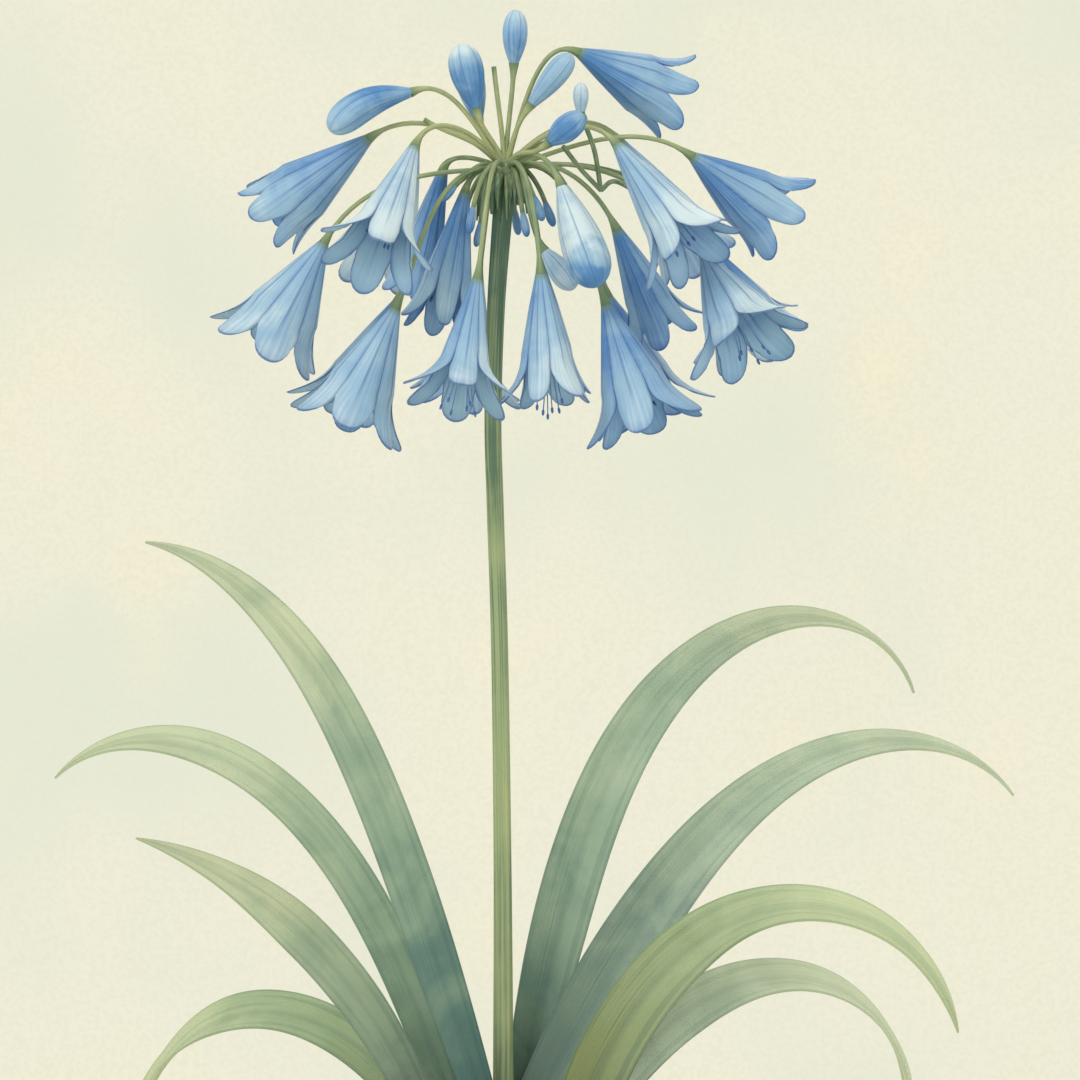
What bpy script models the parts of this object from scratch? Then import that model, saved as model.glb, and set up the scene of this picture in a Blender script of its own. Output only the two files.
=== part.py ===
"""An agapanthus plant in a plain clay pot.

Metres, +Z up. The origin is the middle of the pot's underside. The plant is seen from -Y, with +X to the right.
Sizes and places below are in millimetres and become metres where they are used.
"""
import math

import bmesh
import bpy
from mathutils import Matrix, Vector

MM = 0.001
GAP = 0.3  # clearance between pieces that touch

# Pot, from its underside up
POT_HEIGHT = 170.0
POT_FOOT_RADIUS = 68.0
POT_SHOULDER_RADIUS = 88.0
POT_BAND_HEIGHT = 32.0
POT_BAND_PROUD = 4.0
POT_BAND_FLARE = 2.5
POT_WALL = 8.0
POT_FLOOR = 10.0
POT_EDGE = 1.5
DRAIN_RADIUS = 8.0
POT_SIDES = 28

# Soil
SOIL_TOP = 155.0
SOIL_MOUND = 1.5
SOIL_SHOULDER = 0.7  # share of the radius that stays level
ROOT_DEPTH = 12.0

# Scape: places along its middle line as (right, back, up from the soil), and its thickness there
SCAPE_FOOT = Vector((-15.3, 0.0, SOIL_TOP))
SCAPE_LINE = (
    ((0.0, 0.0, -ROOT_DEPTH), 10.0),
    ((0.0, 0.0, 45.0), 9.0),
    ((-0.3, 0.0, 130.0), 8.0),
    ((-1.6, 0.0, 225.0), 7.6),
    ((-3.6, 0.0, 290.0), 7.6),
    ((-4.6, 0.0, 330.0), 7.6),
    ((-3.2, 0.0, 380.0), 8.0),
    ((0.0, 0.0, 425.0), 9.0),
    ((0.9, 0.0, 440.0), 9.0),
)
HUB = SCAPE_FOOT + Vector((0.9, 0.0, 441.0))
HUB_RADIUS = 7.5
HUB_SQUASH = 0.7

# Leaves: foot beside the scape (right, back), which way they lean (-1 left, 1 right), swing to the back in
# degrees, length, lean from upright at the foot and at the tip, how late they bend, width at the foot and at
# the widest, share of the length where they are widest, and how late they taper
LEAVES = {
    "leaf_left_1": ((1.5, -8.5), -1, -14.0, 343.0, 18.0, 80.0, 4.1, 10.0, 21.0, 0.43, 3.3),
    "leaf_left_2": ((-13.0, 3.0), -1, 24.0, 326.0, 20.0, 130.0, 2.4, 11.5, 19.0, 0.42, 5.0),
    "leaf_left_3": ((-26.0, -6.0), -1, -37.0, 237.0, 19.5, 74.0, 1.05, 10.5, 21.0, 0.59, 1.5),
    "leaf_left_4": ((-24.0, 9.0), -1, 33.0, 246.0, 30.0, 178.0, 1.35, 14.0, 22.0, 0.58, 2.4),
    "leaf_right_1": ((1.5, 17.0), 1, 18.0, 379.0, 12.0, 160.0, 3.2, 10.0, 26.0, 0.36, 2.0),
    "leaf_right_2": ((-1.0, 10.0), 1, 8.0, 341.0, 28.5, 143.0, 3.1, 14.0, 30.0, 0.31, 1.5),
    "leaf_right_3": ((24.5, -7.0), 1, -31.0, 287.0, 21.0, 164.0, 1.8, 15.0, 27.0, 0.22, 2.5),
    "leaf_right_4": ((24.5, 6.0), 1, 31.5, 277.0, 35.0, 192.0, 1.75, 12.0, 23.0, 0.37, 1.3),
}
LEAF_ROWS = 18
LEAF_THICK = 1.3
LEAF_TIP_WIDTH = 1.6
LEAF_FOLD = 0.16  # depth of the channel as a share of the width
LEAF_TURN_UP = 0.6  # how far the upper face turns up as the leaf arches over
LEAF_TURN_MOST = 65.0
LEAF_HOLE_DEEPER = 0.4  # room for the fold, besides the gap
LEAF_HOLE_WIDER = 1.4
SCAPE_HOLE_WIDER = 0.4
HOLE_TALL = 3 * ROOT_DEPTH

# Bloom, along its axis from the neck to the lip
NECK_RADIUS = 2.4
THROAT_AT = 0.62
LIP_FLARE = 1.6
BELL_WALL = 0.8
TEPALS = 6
TEPAL_ROWS = (0.0, 0.35, THROAT_AT, 0.84, 1.0)
TEPAL_COLUMNS = 3
LOBE_HALF_ANGLE = (30.0, 30.0, 30.0, 29.0, 19.0)
LOBE_ROUND = 0.07  # how far the corners of a lobe fall behind its tip
STAMENS = 3
STAMEN_RADIUS = 0.55
STAMEN_REACH = 0.98
STAMEN_SPREAD = 5.0
STAMEN_FOOT = Vector((0.8, 0.0, -0.4))  # inside the closed foot of the bell

# Front blooms: neck and middle of the mouth, right, back and up from the hub, then the radius of the throat
# and of the lip, the roll, and how steeply the stalk rises from the hub
BLOOMS = (
    ((-61, -4, 14), (-109, 8, -22), 14.5, 18.0, 0.0, 0.8),
    ((-40, -45, 7), (-58, -74, -46), 12.5, 25.0, 10.0, 0.8),
    ((-28, 4, 0), (-42, 22, -53), 9.0, 14.0, 0.0, 0.5),
    ((-81, -8, -33), (-109, -2, -81), 16.5, 27.0, 20.0, 0.0),
    ((-48, -40, -64), (-71, -41, -117), 15.0, 26.0, 0.0, 0.1),
    ((-18, -10, -11), (-30, -20, -72), 11.0, 16.0, 30.0, 0.35),
    ((-12, -54, -52), (-20, -71, -106), 10.5, 25.0, 0.0, 0.35),
    ((16, -49, -49), (20, -54, -106), 10.8, 18.5, 30.0, 0.35),
    ((45, -29, -62), (64, -32, -118), 15.0, 26.5, 0.0, 0.35),
    ((50, -8, -27), (72, 8, -74), 10.5, 18.0, 15.0, 0.35),
    ((50, -30, 9), (85, -52, -42), 12.0, 23.0, 0.0, 0.8),
    ((89, -22, -40), (110, -42, -82), 15.0, 27.0, 10.0, 0.2),
    ((84, -4, 6), (125, 16, -22), 14.5, 21.0, 0.0, 0.3),
    ((33, 0, 53), (77, 22, 33), 13.5, 19.0, 20.0, 0.9),
)

# Each of these stands again on the far side of the head, a little wider and higher
TWIN_BLOOMS = (1, 4, 6, 7, 8, 10, 11)
TWIN_WIDER = 1.04
TWIN_HIGHER = 6.0
TWIN_ROLL = 20.0

# Buds: foot and tip, right, back and up from the hub, then the greatest thickness, how far they bow, and the
# share of the length where they are thickest
BUDS = (
    ((-42, -12, 34), (-78, -20, 16), 15.5, 4.0, 0.68),
    ((18, -28, -38), (31, -32, -55), 11.0, 0.0, 0.6),
    ((25, -42, -10), (41, -52, -55), 19.0, 0.0, 0.72),
    ((12, -8, 29), (30, -12, 51), 11.0, 0.0, 0.65),
    ((20, -32, 10), (35, -38, 22), 12.0, 0.0, 0.5),
    ((34, -14, 25), (34, -16, 38), 6.8, 0.0, 0.55),
    ((4, 0, 48), (5, -2, 72), 11.5, 0.0, 0.55),
    ((-13, -6, 27), (-20, -8, 56), 15.5, 0.0, 0.62),
    ((-12, 10, 24), (-18, 16, 51), 13.0, 0.0, 0.62),
)
TWIN_BUDS = (2, 4)
BUD_SIDES = 8
BUD_ROWS = 6
BUD_ROUND = 2.4  # how blunt the tip is
BUD_FOOT = 0.3  # thickness at the foot as a share of the greatest, at most

# Undeveloped buds that hang in the tuft below the hub
YOUNG_BUDS = (
    ((-22, -14, -8), (-28, -18, -15), 3.6, 0.0, 0.6),
    ((-14, -20, -18), (-16, -23, -30), 4.2, 0.0, 0.6),
    ((13, -16, -13), (17, -18, -24), 4.4, 0.0, 0.6),
    ((8, -14, -20), (10, -16, -31), 3.8, 0.0, 0.6),
    ((4, 18, -16), (6, 22, -28), 4.0, 0.0, 0.6),
    ((-11, -6, -24), (-13, -7, -35), 3.4, 0.0, 0.6),
    ((-17, 10, -15), (-20, 12, -27), 4.0, 0.0, 0.6),
    ((18, 6, -14), (22, 8, -25), 4.0, 0.0, 0.6),
)

# Pedicels, the flower stalks
PEDICEL_RADIUS = 1.25
RECEPTACLE_RADIUS = 2.4
RECEPTACLE_LENGTH = 2.4
RECEPTACLE_NARROWS = 0.95
PEDICEL_STEPS = 4
PEDICEL_LIFT = 0.45  # how long they keep their first direction, as a share of their reach
PEDICEL_DROP = 0.35  # how long they follow the flower's axis
PEDICEL_ROOT = 3.0  # where they start, from the middle of the hub
PEDICEL_RISE = 0.5  # how steeply the stalks of the buds rise
BARE_PEDICELS = ((-5, -4, 46), (-36, -8, 22))

# Side stalks that meet beside the head, as places along their middle line from the hub
SIDE_STALKS = (
    ((26, -24, 9), (34, -20, -1), (43, -13, -10)),
    ((34, -14, 24), (40, -14, 8), (43, -13, -10)),
    ((43, -13, -10), (49, -14, -6), (60, -12, -11)),
)

# Bracts that hang from the hub like a tuft: the direction in degrees, how far out and how far down
BRACTS = (
    (195, 11, 14),
    (222, 8, 20),
    (248, 9, 15),
    (285, 8, 22),
    (312, 9, 16),
    (338, 11, 12),
    (20, 10, 15),
    (70, 9, 20),
    (120, 9, 16),
)
BRACT_RADIUS = 1.7
BRACT_ROOT_THICK = 0.8
BRACT_BEND = (0.8, 0.25)  # where it turns down, as a share of its reach and of its drop
BRACT_TIP_THICK = 0.35

COLOURS = {
    "clay": ((0.50, 0.22, 0.13), 0.85),
    "soil": ((0.06, 0.04, 0.03), 1.0),
    "stalk": ((0.20, 0.31, 0.14), 0.55),
    "leaf": ((0.19, 0.33, 0.20), 0.50),
    "petal": ((0.17, 0.31, 0.66), 0.45),
    "bud": ((0.12, 0.24, 0.58), 0.45),
}


def clear_scene():
    """Removes whatever the open file holds."""
    for thing in list(bpy.data.objects):
        bpy.data.objects.remove(thing, do_unlink=True)


def new_collection(name):
    """Makes a collection in the scene."""
    group = bpy.data.collections.new(name)
    bpy.context.scene.collection.children.link(group)
    return group


def material(name):
    """Gives one of the plant's materials, made once."""
    known = bpy.data.materials.get(name)
    if known:
        return known
    colour, roughness = COLOURS[name]
    made = bpy.data.materials.new(name)
    made.use_nodes = True
    shader = made.node_tree.nodes["Principled BSDF"]
    shader.inputs["Base Color"].default_value = (*colour, 1.0)
    shader.inputs["Roughness"].default_value = roughness
    made.diffuse_color = (*colour, 1.0)
    return made


def mesh_object(name, bm, group):
    """Turns an edit mesh into an object of a collection."""
    mesh = bpy.data.meshes.new(name)
    bm.to_mesh(mesh)
    bm.free()
    thing = bpy.data.objects.new(name, mesh)
    group.objects.link(thing)
    return thing


def finish(thing, finish_name, smooth=40.0):
    """Gives a piece its material and smooth shading."""
    thing.data.materials.clear()
    thing.data.materials.append(material(finish_name))
    thing.data.shade_smooth()
    thing.data.set_sharp_from_angle(angle=math.radians(smooth))


def apply_modifiers(thing):
    """Replaces an object's mesh by what its modifiers make of it."""
    graph = bpy.context.evaluated_depsgraph_get()
    made = bpy.data.meshes.new_from_object(thing.evaluated_get(graph))
    thing.modifiers.clear()
    old = thing.data
    thing.data = made
    if isinstance(old, bpy.types.Mesh):
        bpy.data.meshes.remove(old)


def drop_collection(group):
    """Removes a collection with all that it holds."""
    for thing in list(group.objects):
        bpy.data.objects.remove(thing, do_unlink=True)
    bpy.data.collections.remove(group)


def join_solids(body, others):
    """Unites a body with every solid of a collection, which is then removed."""
    union = body.modifiers.new("join", "BOOLEAN")
    union.operation = "UNION"
    union.operand_type = "COLLECTION"
    union.collection = others
    union.solver = "MANIFOLD"
    bpy.context.view_layer.update()
    apply_modifiers(body)
    drop_collection(others)


def turned(name, profile, sides, group):
    """Turns a profile of (radius, height) about the upright axis."""
    bm = bmesh.new()
    points = [bm.verts.new((radius * MM, 0.0, height * MM)) for radius, height in profile]
    for first, second in zip(points, points[1:]):
        bm.edges.new((first, second))
    if profile[0][0] > 0.0:
        bm.edges.new((points[-1], points[0]))
    thing = mesh_object(name, bm, group)
    screw = thing.modifiers.new("turn", "SCREW")
    screw.steps = sides
    screw.render_steps = sides
    screw.use_merge_vertices = True
    screw.merge_threshold = 0.00001
    return thing


def pot_outer_radius(height):
    """Outer radius of the pot's wall below its band."""
    share = height / (POT_HEIGHT - POT_BAND_HEIGHT)
    return POT_FOOT_RADIUS + (POT_SHOULDER_RADIUS - POT_FOOT_RADIUS) * share


def pot_inner_radius(height):
    """Inner radius of the pot's wall, which runs straight up to the rim."""
    return pot_outer_radius(height) - POT_WALL


def build_pot(group):
    """The clay pot: a tapered wall with a band at the rim and a drainage hole."""
    band_foot = POT_HEIGHT - POT_BAND_HEIGHT
    band = POT_SHOULDER_RADIUS + POT_BAND_PROUD
    rim = band + POT_BAND_FLARE
    inner_rim = pot_inner_radius(POT_HEIGHT)
    profile = (
        (inner_rim, POT_HEIGHT - POT_EDGE),
        (inner_rim + POT_EDGE, POT_HEIGHT),
        (rim - POT_EDGE, POT_HEIGHT),
        (rim, POT_HEIGHT - POT_EDGE),
        (band + POT_EDGE * 0.3, band_foot + POT_EDGE),
        (band - POT_EDGE, band_foot),
        (POT_SHOULDER_RADIUS, band_foot),
        (POT_FOOT_RADIUS, POT_EDGE),
        (POT_FOOT_RADIUS - POT_EDGE, 0.0),
        (DRAIN_RADIUS, 0.0),
        (DRAIN_RADIUS, POT_FLOOR),
        (pot_inner_radius(POT_FLOOR), POT_FLOOR),
    )
    pot = turned("pot", profile, POT_SIDES, group)
    apply_modifiers(pot)
    finish(pot, "clay", 30.0)
    return pot


def build_soil(group, cutters):
    """The soil, one solid with a low mound and a plain hole for each stem and leaf."""
    top_radius = pot_inner_radius(SOIL_TOP) - GAP
    low_radius = pot_inner_radius(POT_FLOOR) - GAP
    floor = POT_FLOOR + GAP
    profile = (
        (0.0, SOIL_TOP),
        (top_radius * SOIL_SHOULDER, SOIL_TOP),
        (top_radius, SOIL_TOP - SOIL_MOUND),
        (low_radius, floor),
        (0.0, floor),
    )
    soil = turned("soil", profile, POT_SIDES, group)
    cut = soil.modifiers.new("holes", "BOOLEAN")
    cut.operation = "DIFFERENCE"
    cut.operand_type = "COLLECTION"
    cut.collection = cutters
    bpy.context.view_layer.update()
    apply_modifiers(soil)
    finish(soil, "soil")
    return soil


def tube(name, points, radii, sides_level, group):
    """A round stem along the given points, as a closed mesh."""
    curve = bpy.data.curves.new(name, "CURVE")
    curve.dimensions = "3D"
    curve.bevel_depth = MM
    curve.bevel_resolution = sides_level
    curve.use_fill_caps = True
    spline = curve.splines.new("POLY")
    spline.points.add(len(points) - 1)
    for spot, place, radius in zip(spline.points, points, radii):
        spot.co = (*(Vector(place) * MM), 1.0)
        spot.radius = radius
    line = bpy.data.objects.new(name + "_line", curve)
    group.objects.link(line)
    bpy.context.view_layer.update()
    graph = bpy.context.evaluated_depsgraph_get()
    mesh = bpy.data.meshes.new_from_object(line.evaluated_get(graph))
    bpy.data.objects.remove(line, do_unlink=True)
    bpy.data.curves.remove(curve)
    bm = bmesh.new()
    bm.from_mesh(mesh)
    bpy.data.meshes.remove(mesh)
    bmesh.ops.remove_doubles(bm, verts=bm.verts, dist=0.00001)
    bmesh.ops.recalc_face_normals(bm, faces=bm.faces)
    return mesh_object(name, bm, group)


def smooth_line(points, steps):
    """Points on a smooth curve through the given ones."""
    knots = [Vector(point) for point in points]
    ends = [knots[0] * 2 - knots[1], *knots, knots[-1] * 2 - knots[-2]]
    line = []
    for i in range(len(knots) - 1):
        a, b, c, d = ends[i : i + 4]
        for k in range(steps):
            t = k / steps
            square = (2 * a - 5 * b + 4 * c - d) * t * t
            cube = (3 * b - a - 3 * c + d) * t**3
            line.append(0.5 * (2 * b + (c - a) * t + square + cube))
    line.append(knots[-1])
    return line


def hanging_route(foot, axis, rise):
    """A stalk's middle line from the hub to the foot of a bloom, which hangs along the given axis."""
    out = Vector(foot)
    distance = out.length
    ahead = Vector((out.x, out.y, max(0.0, out.z))).normalized()
    start = (ahead + Vector((0.0, 0.0, rise))).normalized()
    a = start * PEDICEL_ROOT
    b = start * distance * PEDICEL_LIFT
    c = out - axis * distance * PEDICEL_DROP
    line = []
    for k in range(PEDICEL_STEPS):
        t = k / PEDICEL_STEPS
        line.append((1 - t) ** 3 * a + 3 * t * (1 - t) ** 2 * b + 3 * t * t * (1 - t) * c + t**3 * out)
    line.append(out - axis * RECEPTACLE_LENGTH)
    line.append(out)
    return line


def build_pedicel(name, foot, axis, end_radius, rise, group):
    """A flower stalk with its swollen receptacle."""
    line = hanging_route(foot, axis, rise)
    radii = [PEDICEL_RADIUS] * (len(line) - 2) + [end_radius, end_radius * RECEPTACLE_NARROWS]
    places = [HUB + point for point in line]
    return tube(name, places, radii, 1, group)


def build_bract(name, turn, reach, drop, group):
    """A slim bract that leaves the hub level and hangs down."""
    out = Vector((math.cos(turn), math.sin(turn), 0.0))
    down = Vector((0.0, 0.0, -1.0))
    bend = out * reach * BRACT_BEND[0] + down * drop * BRACT_BEND[1]
    places = [HUB + out * PEDICEL_ROOT, HUB + bend, HUB + out * reach + down * drop]
    radii = [BRACT_RADIUS * BRACT_ROOT_THICK, BRACT_RADIUS, BRACT_RADIUS * BRACT_TIP_THICK]
    tube(name, places, radii, 1, group)


def build_stalk(group, feet):
    """Scape, hub and pedicels, grown as one piece."""
    places = [SCAPE_FOOT + Vector(place) for place, _ in SCAPE_LINE]
    thick = [Vector((width / 2, 0.0, 0.0)) for _, width in SCAPE_LINE]
    line = smooth_line(places, 2)
    radii = [point.x for point in smooth_line(thick, 2)]
    stalk = tube("stalk", line, radii, 3, group)
    others = new_collection("pedicels")
    bm = bmesh.new()
    bmesh.ops.create_uvsphere(bm, u_segments=10, v_segments=6, radius=HUB_RADIUS * MM)
    bmesh.ops.scale(bm, vec=(1.0, 1.0, HUB_SQUASH), verts=bm.verts)
    bmesh.ops.translate(bm, vec=HUB * MM, verts=bm.verts)
    mesh_object("hub", bm, others)
    for number, (foot, axis, radius, rise) in enumerate(feet):
        build_pedicel(f"pedicel_{number}", foot, axis, radius, rise, others)
    for number, side_stalk in enumerate(SIDE_STALKS):
        places = [HUB + Vector(place) for place in side_stalk]
        tube(f"side_stalk_{number}", places, [PEDICEL_RADIUS] * len(places), 1, others)
    for number, (turn, reach, drop) in enumerate(BRACTS):
        build_bract(f"bract_{number}", math.radians(turn), reach, drop, others)
    join_solids(stalk, others)
    finish(stalk, "stalk")
    return stalk


def leaf_width(share, foot_width, widest, widest_at, taper):
    """Width of a leaf at a share of its length."""
    if share < widest_at:
        rise = math.sin(share / widest_at * math.pi / 2)
        return foot_width + (widest - foot_width) * rise
    fall = (share - widest_at) / (1.0 - widest_at)
    return LEAF_TIP_WIDTH + (widest - LEAF_TIP_WIDTH) * (1.0 - fall**taper)


def leaf_frame(numbers):
    """Middle line of a leaf with its direction, its upper face's direction and its width at each row."""
    foot, side, swing, length, lean_foot, lean_tip, late, *widths = numbers
    place = SCAPE_FOOT + Vector((foot[0], foot[1], -ROOT_DEPTH))
    rows = []
    for row in range(LEAF_ROWS + 1):
        share = row / LEAF_ROWS
        lean = math.radians(lean_foot + (lean_tip - lean_foot) * share**late)
        flat = Vector((side * math.cos(math.radians(swing)), math.sin(math.radians(swing)), 0.0))
        along = flat * math.sin(lean) + Vector((0.0, 0.0, math.cos(lean)))
        up = min(math.radians(LEAF_TURN_MOST), LEAF_TURN_UP * (lean - math.radians(lean_foot)))
        face = Vector((0.0, -math.cos(up), math.sin(up)))
        face = (face - along * face.dot(along)).normalized()
        rows.append((place.copy(), along, face, leaf_width(share, *widths)))
        middle = math.radians(lean_foot + (lean_tip - lean_foot) * (share + 0.5 / LEAF_ROWS) ** late)
        place = place + (flat * math.sin(middle) + Vector((0.0, 0.0, math.cos(middle)))) * (length / LEAF_ROWS)
    return rows


def build_leaf(name, numbers, group):
    """A strap leaf: a folded blade that arches over."""
    rows = leaf_frame(numbers)
    bm = bmesh.new()
    bmesh.ops.create_grid(bm, x_segments=2, y_segments=LEAF_ROWS, size=1.0)
    for vert in bm.verts:
        across = vert.co.x
        place, along, face, width = rows[round((vert.co.y + 1.0) / 2.0 * LEAF_ROWS)]
        sideways = along.cross(face)
        point = place + sideways * across * width / 2 + face * abs(across) * width * LEAF_FOLD
        vert.co = point * MM
    bmesh.ops.triangulate(bm, faces=bm.faces)
    leaf = mesh_object(name, bm, group)
    wall = leaf.modifiers.new("blade", "SOLIDIFY")
    wall.thickness = LEAF_THICK * MM
    wall.offset = 0.0
    finish(leaf, "leaf", 60.0)
    return leaf


def leaf_hole(name, numbers, cutters):
    """The plain hole that a leaf stands in."""
    place, along, face, foot_width = leaf_frame(numbers)[0]
    sideways = along.cross(face)
    length = numbers[3]
    width = leaf_width(HOLE_TALL / 2 / length, *numbers[7:])
    deep = width * LEAF_FOLD + LEAF_THICK + 2 * GAP + LEAF_HOLE_DEEPER
    wide = width + 2 * GAP + LEAF_HOLE_WIDER
    middle = place + along * (HOLE_TALL / 2 - GAP) + face * (foot_width * LEAF_FOLD / 2)
    turn = Matrix((sideways, face, along)).transposed().to_4x4()
    bm = bmesh.new()
    size = Matrix.Diagonal((wide * MM, deep * MM, HOLE_TALL * MM, 1.0))
    bmesh.ops.create_cube(bm, size=1.0, matrix=Matrix.Translation(middle * MM) @ turn @ size)
    bmesh.ops.recalc_face_normals(bm, faces=bm.faces)
    hole = mesh_object(name, bm, cutters)
    hole.hide_render = True
    hole.display_type = "WIRE"


def scape_hole(cutters):
    """The plain round hole that the scape stands in."""
    middle = SCAPE_FOOT + Vector((0.0, 0.0, HOLE_TALL / 2 - ROOT_DEPTH - GAP))
    radius = (SCAPE_LINE[0][1] / 2 + GAP + SCAPE_HOLE_WIDER / 2) * MM
    bm = bmesh.new()
    bmesh.ops.create_cone(
        bm,
        cap_ends=True,
        segments=16,
        radius1=radius,
        radius2=radius,
        depth=HOLE_TALL * MM,
        matrix=Matrix.Translation(middle * MM),
    )
    hole = mesh_object("scape_hole", bm, cutters)
    hole.hide_render = True
    hole.display_type = "WIRE"


def bell_radius(share, throat, lip):
    """Radius of a bloom at a share of its length."""
    if share <= THROAT_AT:
        return NECK_RADIUS + (throat - NECK_RADIUS) * share / THROAT_AT
    flare = (share - THROAT_AT) / (1.0 - THROAT_AT)
    return throat + (lip - throat) * flare**LIP_FLARE


def add_tepal(bm, turn, length, throat, lip):
    """One tepal of a bell that hangs from the origin down -Z."""
    rows = len(TEPAL_ROWS) - 1
    made = bmesh.ops.create_grid(bm, x_segments=TEPAL_COLUMNS, y_segments=rows, size=1.0)
    for vert in made["verts"]:
        across = vert.co.x
        row = round((vert.co.y + 1.0) / 2.0 * rows)
        share = TEPAL_ROWS[row]
        if row == rows and abs(across) > 0.9:
            share -= LOBE_ROUND
        angle = turn + math.radians(LOBE_HALF_ANGLE[row] * across)
        radius = bell_radius(share, throat, lip) * MM
        vert.co = (radius * math.cos(angle), radius * math.sin(angle), -share * length * MM)


def build_bell(name, length, throat, lip, group):
    """A bell of six tepals that part at the throat, with its foot closed."""
    bm = bmesh.new()
    for number in range(TEPALS):
        add_tepal(bm, math.tau * number / TEPALS, length, throat, lip)
    bmesh.ops.remove_doubles(bm, verts=bm.verts, dist=0.00001)
    foot = [edge for edge in bm.edges if edge.is_boundary and all(abs(v.co.z) < 0.00001 for v in edge.verts)]
    foot_face = bmesh.ops.contextual_create(bm, geom=foot)["faces"][0]
    bmesh.ops.recalc_face_normals(bm, faces=bm.faces)
    if foot_face.normal.z < 0.0:
        bmesh.ops.reverse_faces(bm, faces=bm.faces)
    bmesh.ops.triangulate(bm, faces=bm.faces)
    bell = mesh_object(name, bm, group)
    wall = bell.modifiers.new("wall", "SOLIDIFY")
    wall.thickness = BELL_WALL * MM
    wall.offset = -1.0
    return bell


def add_stamens(length, group):
    """Slim stamens that run from the foot of the bell to its mouth."""
    for number in range(STAMENS):
        turn = math.tau * (number + 0.5) / STAMENS
        foot = Matrix.Rotation(turn, 3, "Z") @ STAMEN_FOOT
        tip = Matrix.Rotation(turn, 3, "Z") @ Vector((STAMEN_SPREAD, 0.0, -length * STAMEN_REACH))
        along = tip - foot
        bm = bmesh.new()
        turned_along = along.to_track_quat("Z", "Y").to_matrix().to_4x4()
        bmesh.ops.create_cone(
            bm,
            cap_ends=True,
            segments=3,
            radius1=STAMEN_RADIUS * MM,
            radius2=STAMEN_RADIUS * MM,
            depth=along.length * MM,
            matrix=Matrix.Translation((foot + along / 2) * MM) @ turned_along,
        )
        mesh_object(f"stamen_{number}", bm, group)


def build_bloom(name, foot, mouth, throat, lip, roll, group):
    """An open flower that hangs from its receptacle."""
    foot, mouth = Vector(foot), Vector(mouth)
    axis = (mouth - foot).normalized()
    length = (mouth - foot).length
    bloom = build_bell(name, length, throat, lip, group)
    stamens = new_collection("stamens")
    add_stamens(length, stamens)
    join_solids(bloom, stamens)
    bloom.rotation_mode = "QUATERNION"
    rolled = Matrix.Rotation(math.radians(roll), 4, "Z").to_quaternion()
    bloom.rotation_quaternion = (-axis).to_track_quat("Z", "Y") @ rolled
    bloom.location = (HUB + foot + axis * GAP) * MM
    finish(bloom, "petal", 50.0)
    return axis


def bud_radius(share, foot_radius, thick, thickest_at):
    """Radius of a bud at a share of its length."""
    if share < thickest_at:
        return foot_radius + (thick / 2 - foot_radius) * math.sin(share / thickest_at * math.pi / 2)
    fall = (share - thickest_at) / (1.0 - thickest_at)
    return thick / 2 * math.sqrt(1.0 - fall**BUD_ROUND)


def build_bud(name, foot, tip, thick, bow, thickest_at, group):
    """A closed bud, which may bow upwards."""
    foot, tip = Vector(foot), Vector(tip)
    axis = (tip - foot).normalized()
    length = (tip - foot).length - GAP
    foot_radius = min(RECEPTACLE_RADIUS, thick * BUD_FOOT) * RECEPTACLE_NARROWS
    profile = [(0.0, 0.0), (foot_radius, 0.0)]
    for row in range(1, BUD_ROWS):
        share = math.sin(row / BUD_ROWS * math.pi / 2)
        profile.append((bud_radius(share, foot_radius, thick, thickest_at), share * length))
    profile.append((0.0, length))
    bud = turned(name, profile, BUD_SIDES, group)
    apply_modifiers(bud)
    for vert in bud.data.vertices:
        share = vert.co.z / (length * MM)
        vert.co.x += math.sin(math.pi * share) * bow * MM
    bm = bmesh.new()
    bm.from_mesh(bud.data)
    bmesh.ops.recalc_face_normals(bm, faces=bm.faces)
    bm.to_mesh(bud.data)
    bm.free()
    bud.rotation_mode = "QUATERNION"
    bud.rotation_quaternion = axis.to_track_quat("Z", "X")
    bud.location = (HUB + foot + axis * GAP) * MM
    finish(bud, "bud")
    return axis


def twin(point):
    """The place on the far side of the head that matches one on the near side."""
    return Vector((point[0] * TWIN_WIDER, -point[1], point[2] + TWIN_HIGHER))


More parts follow.
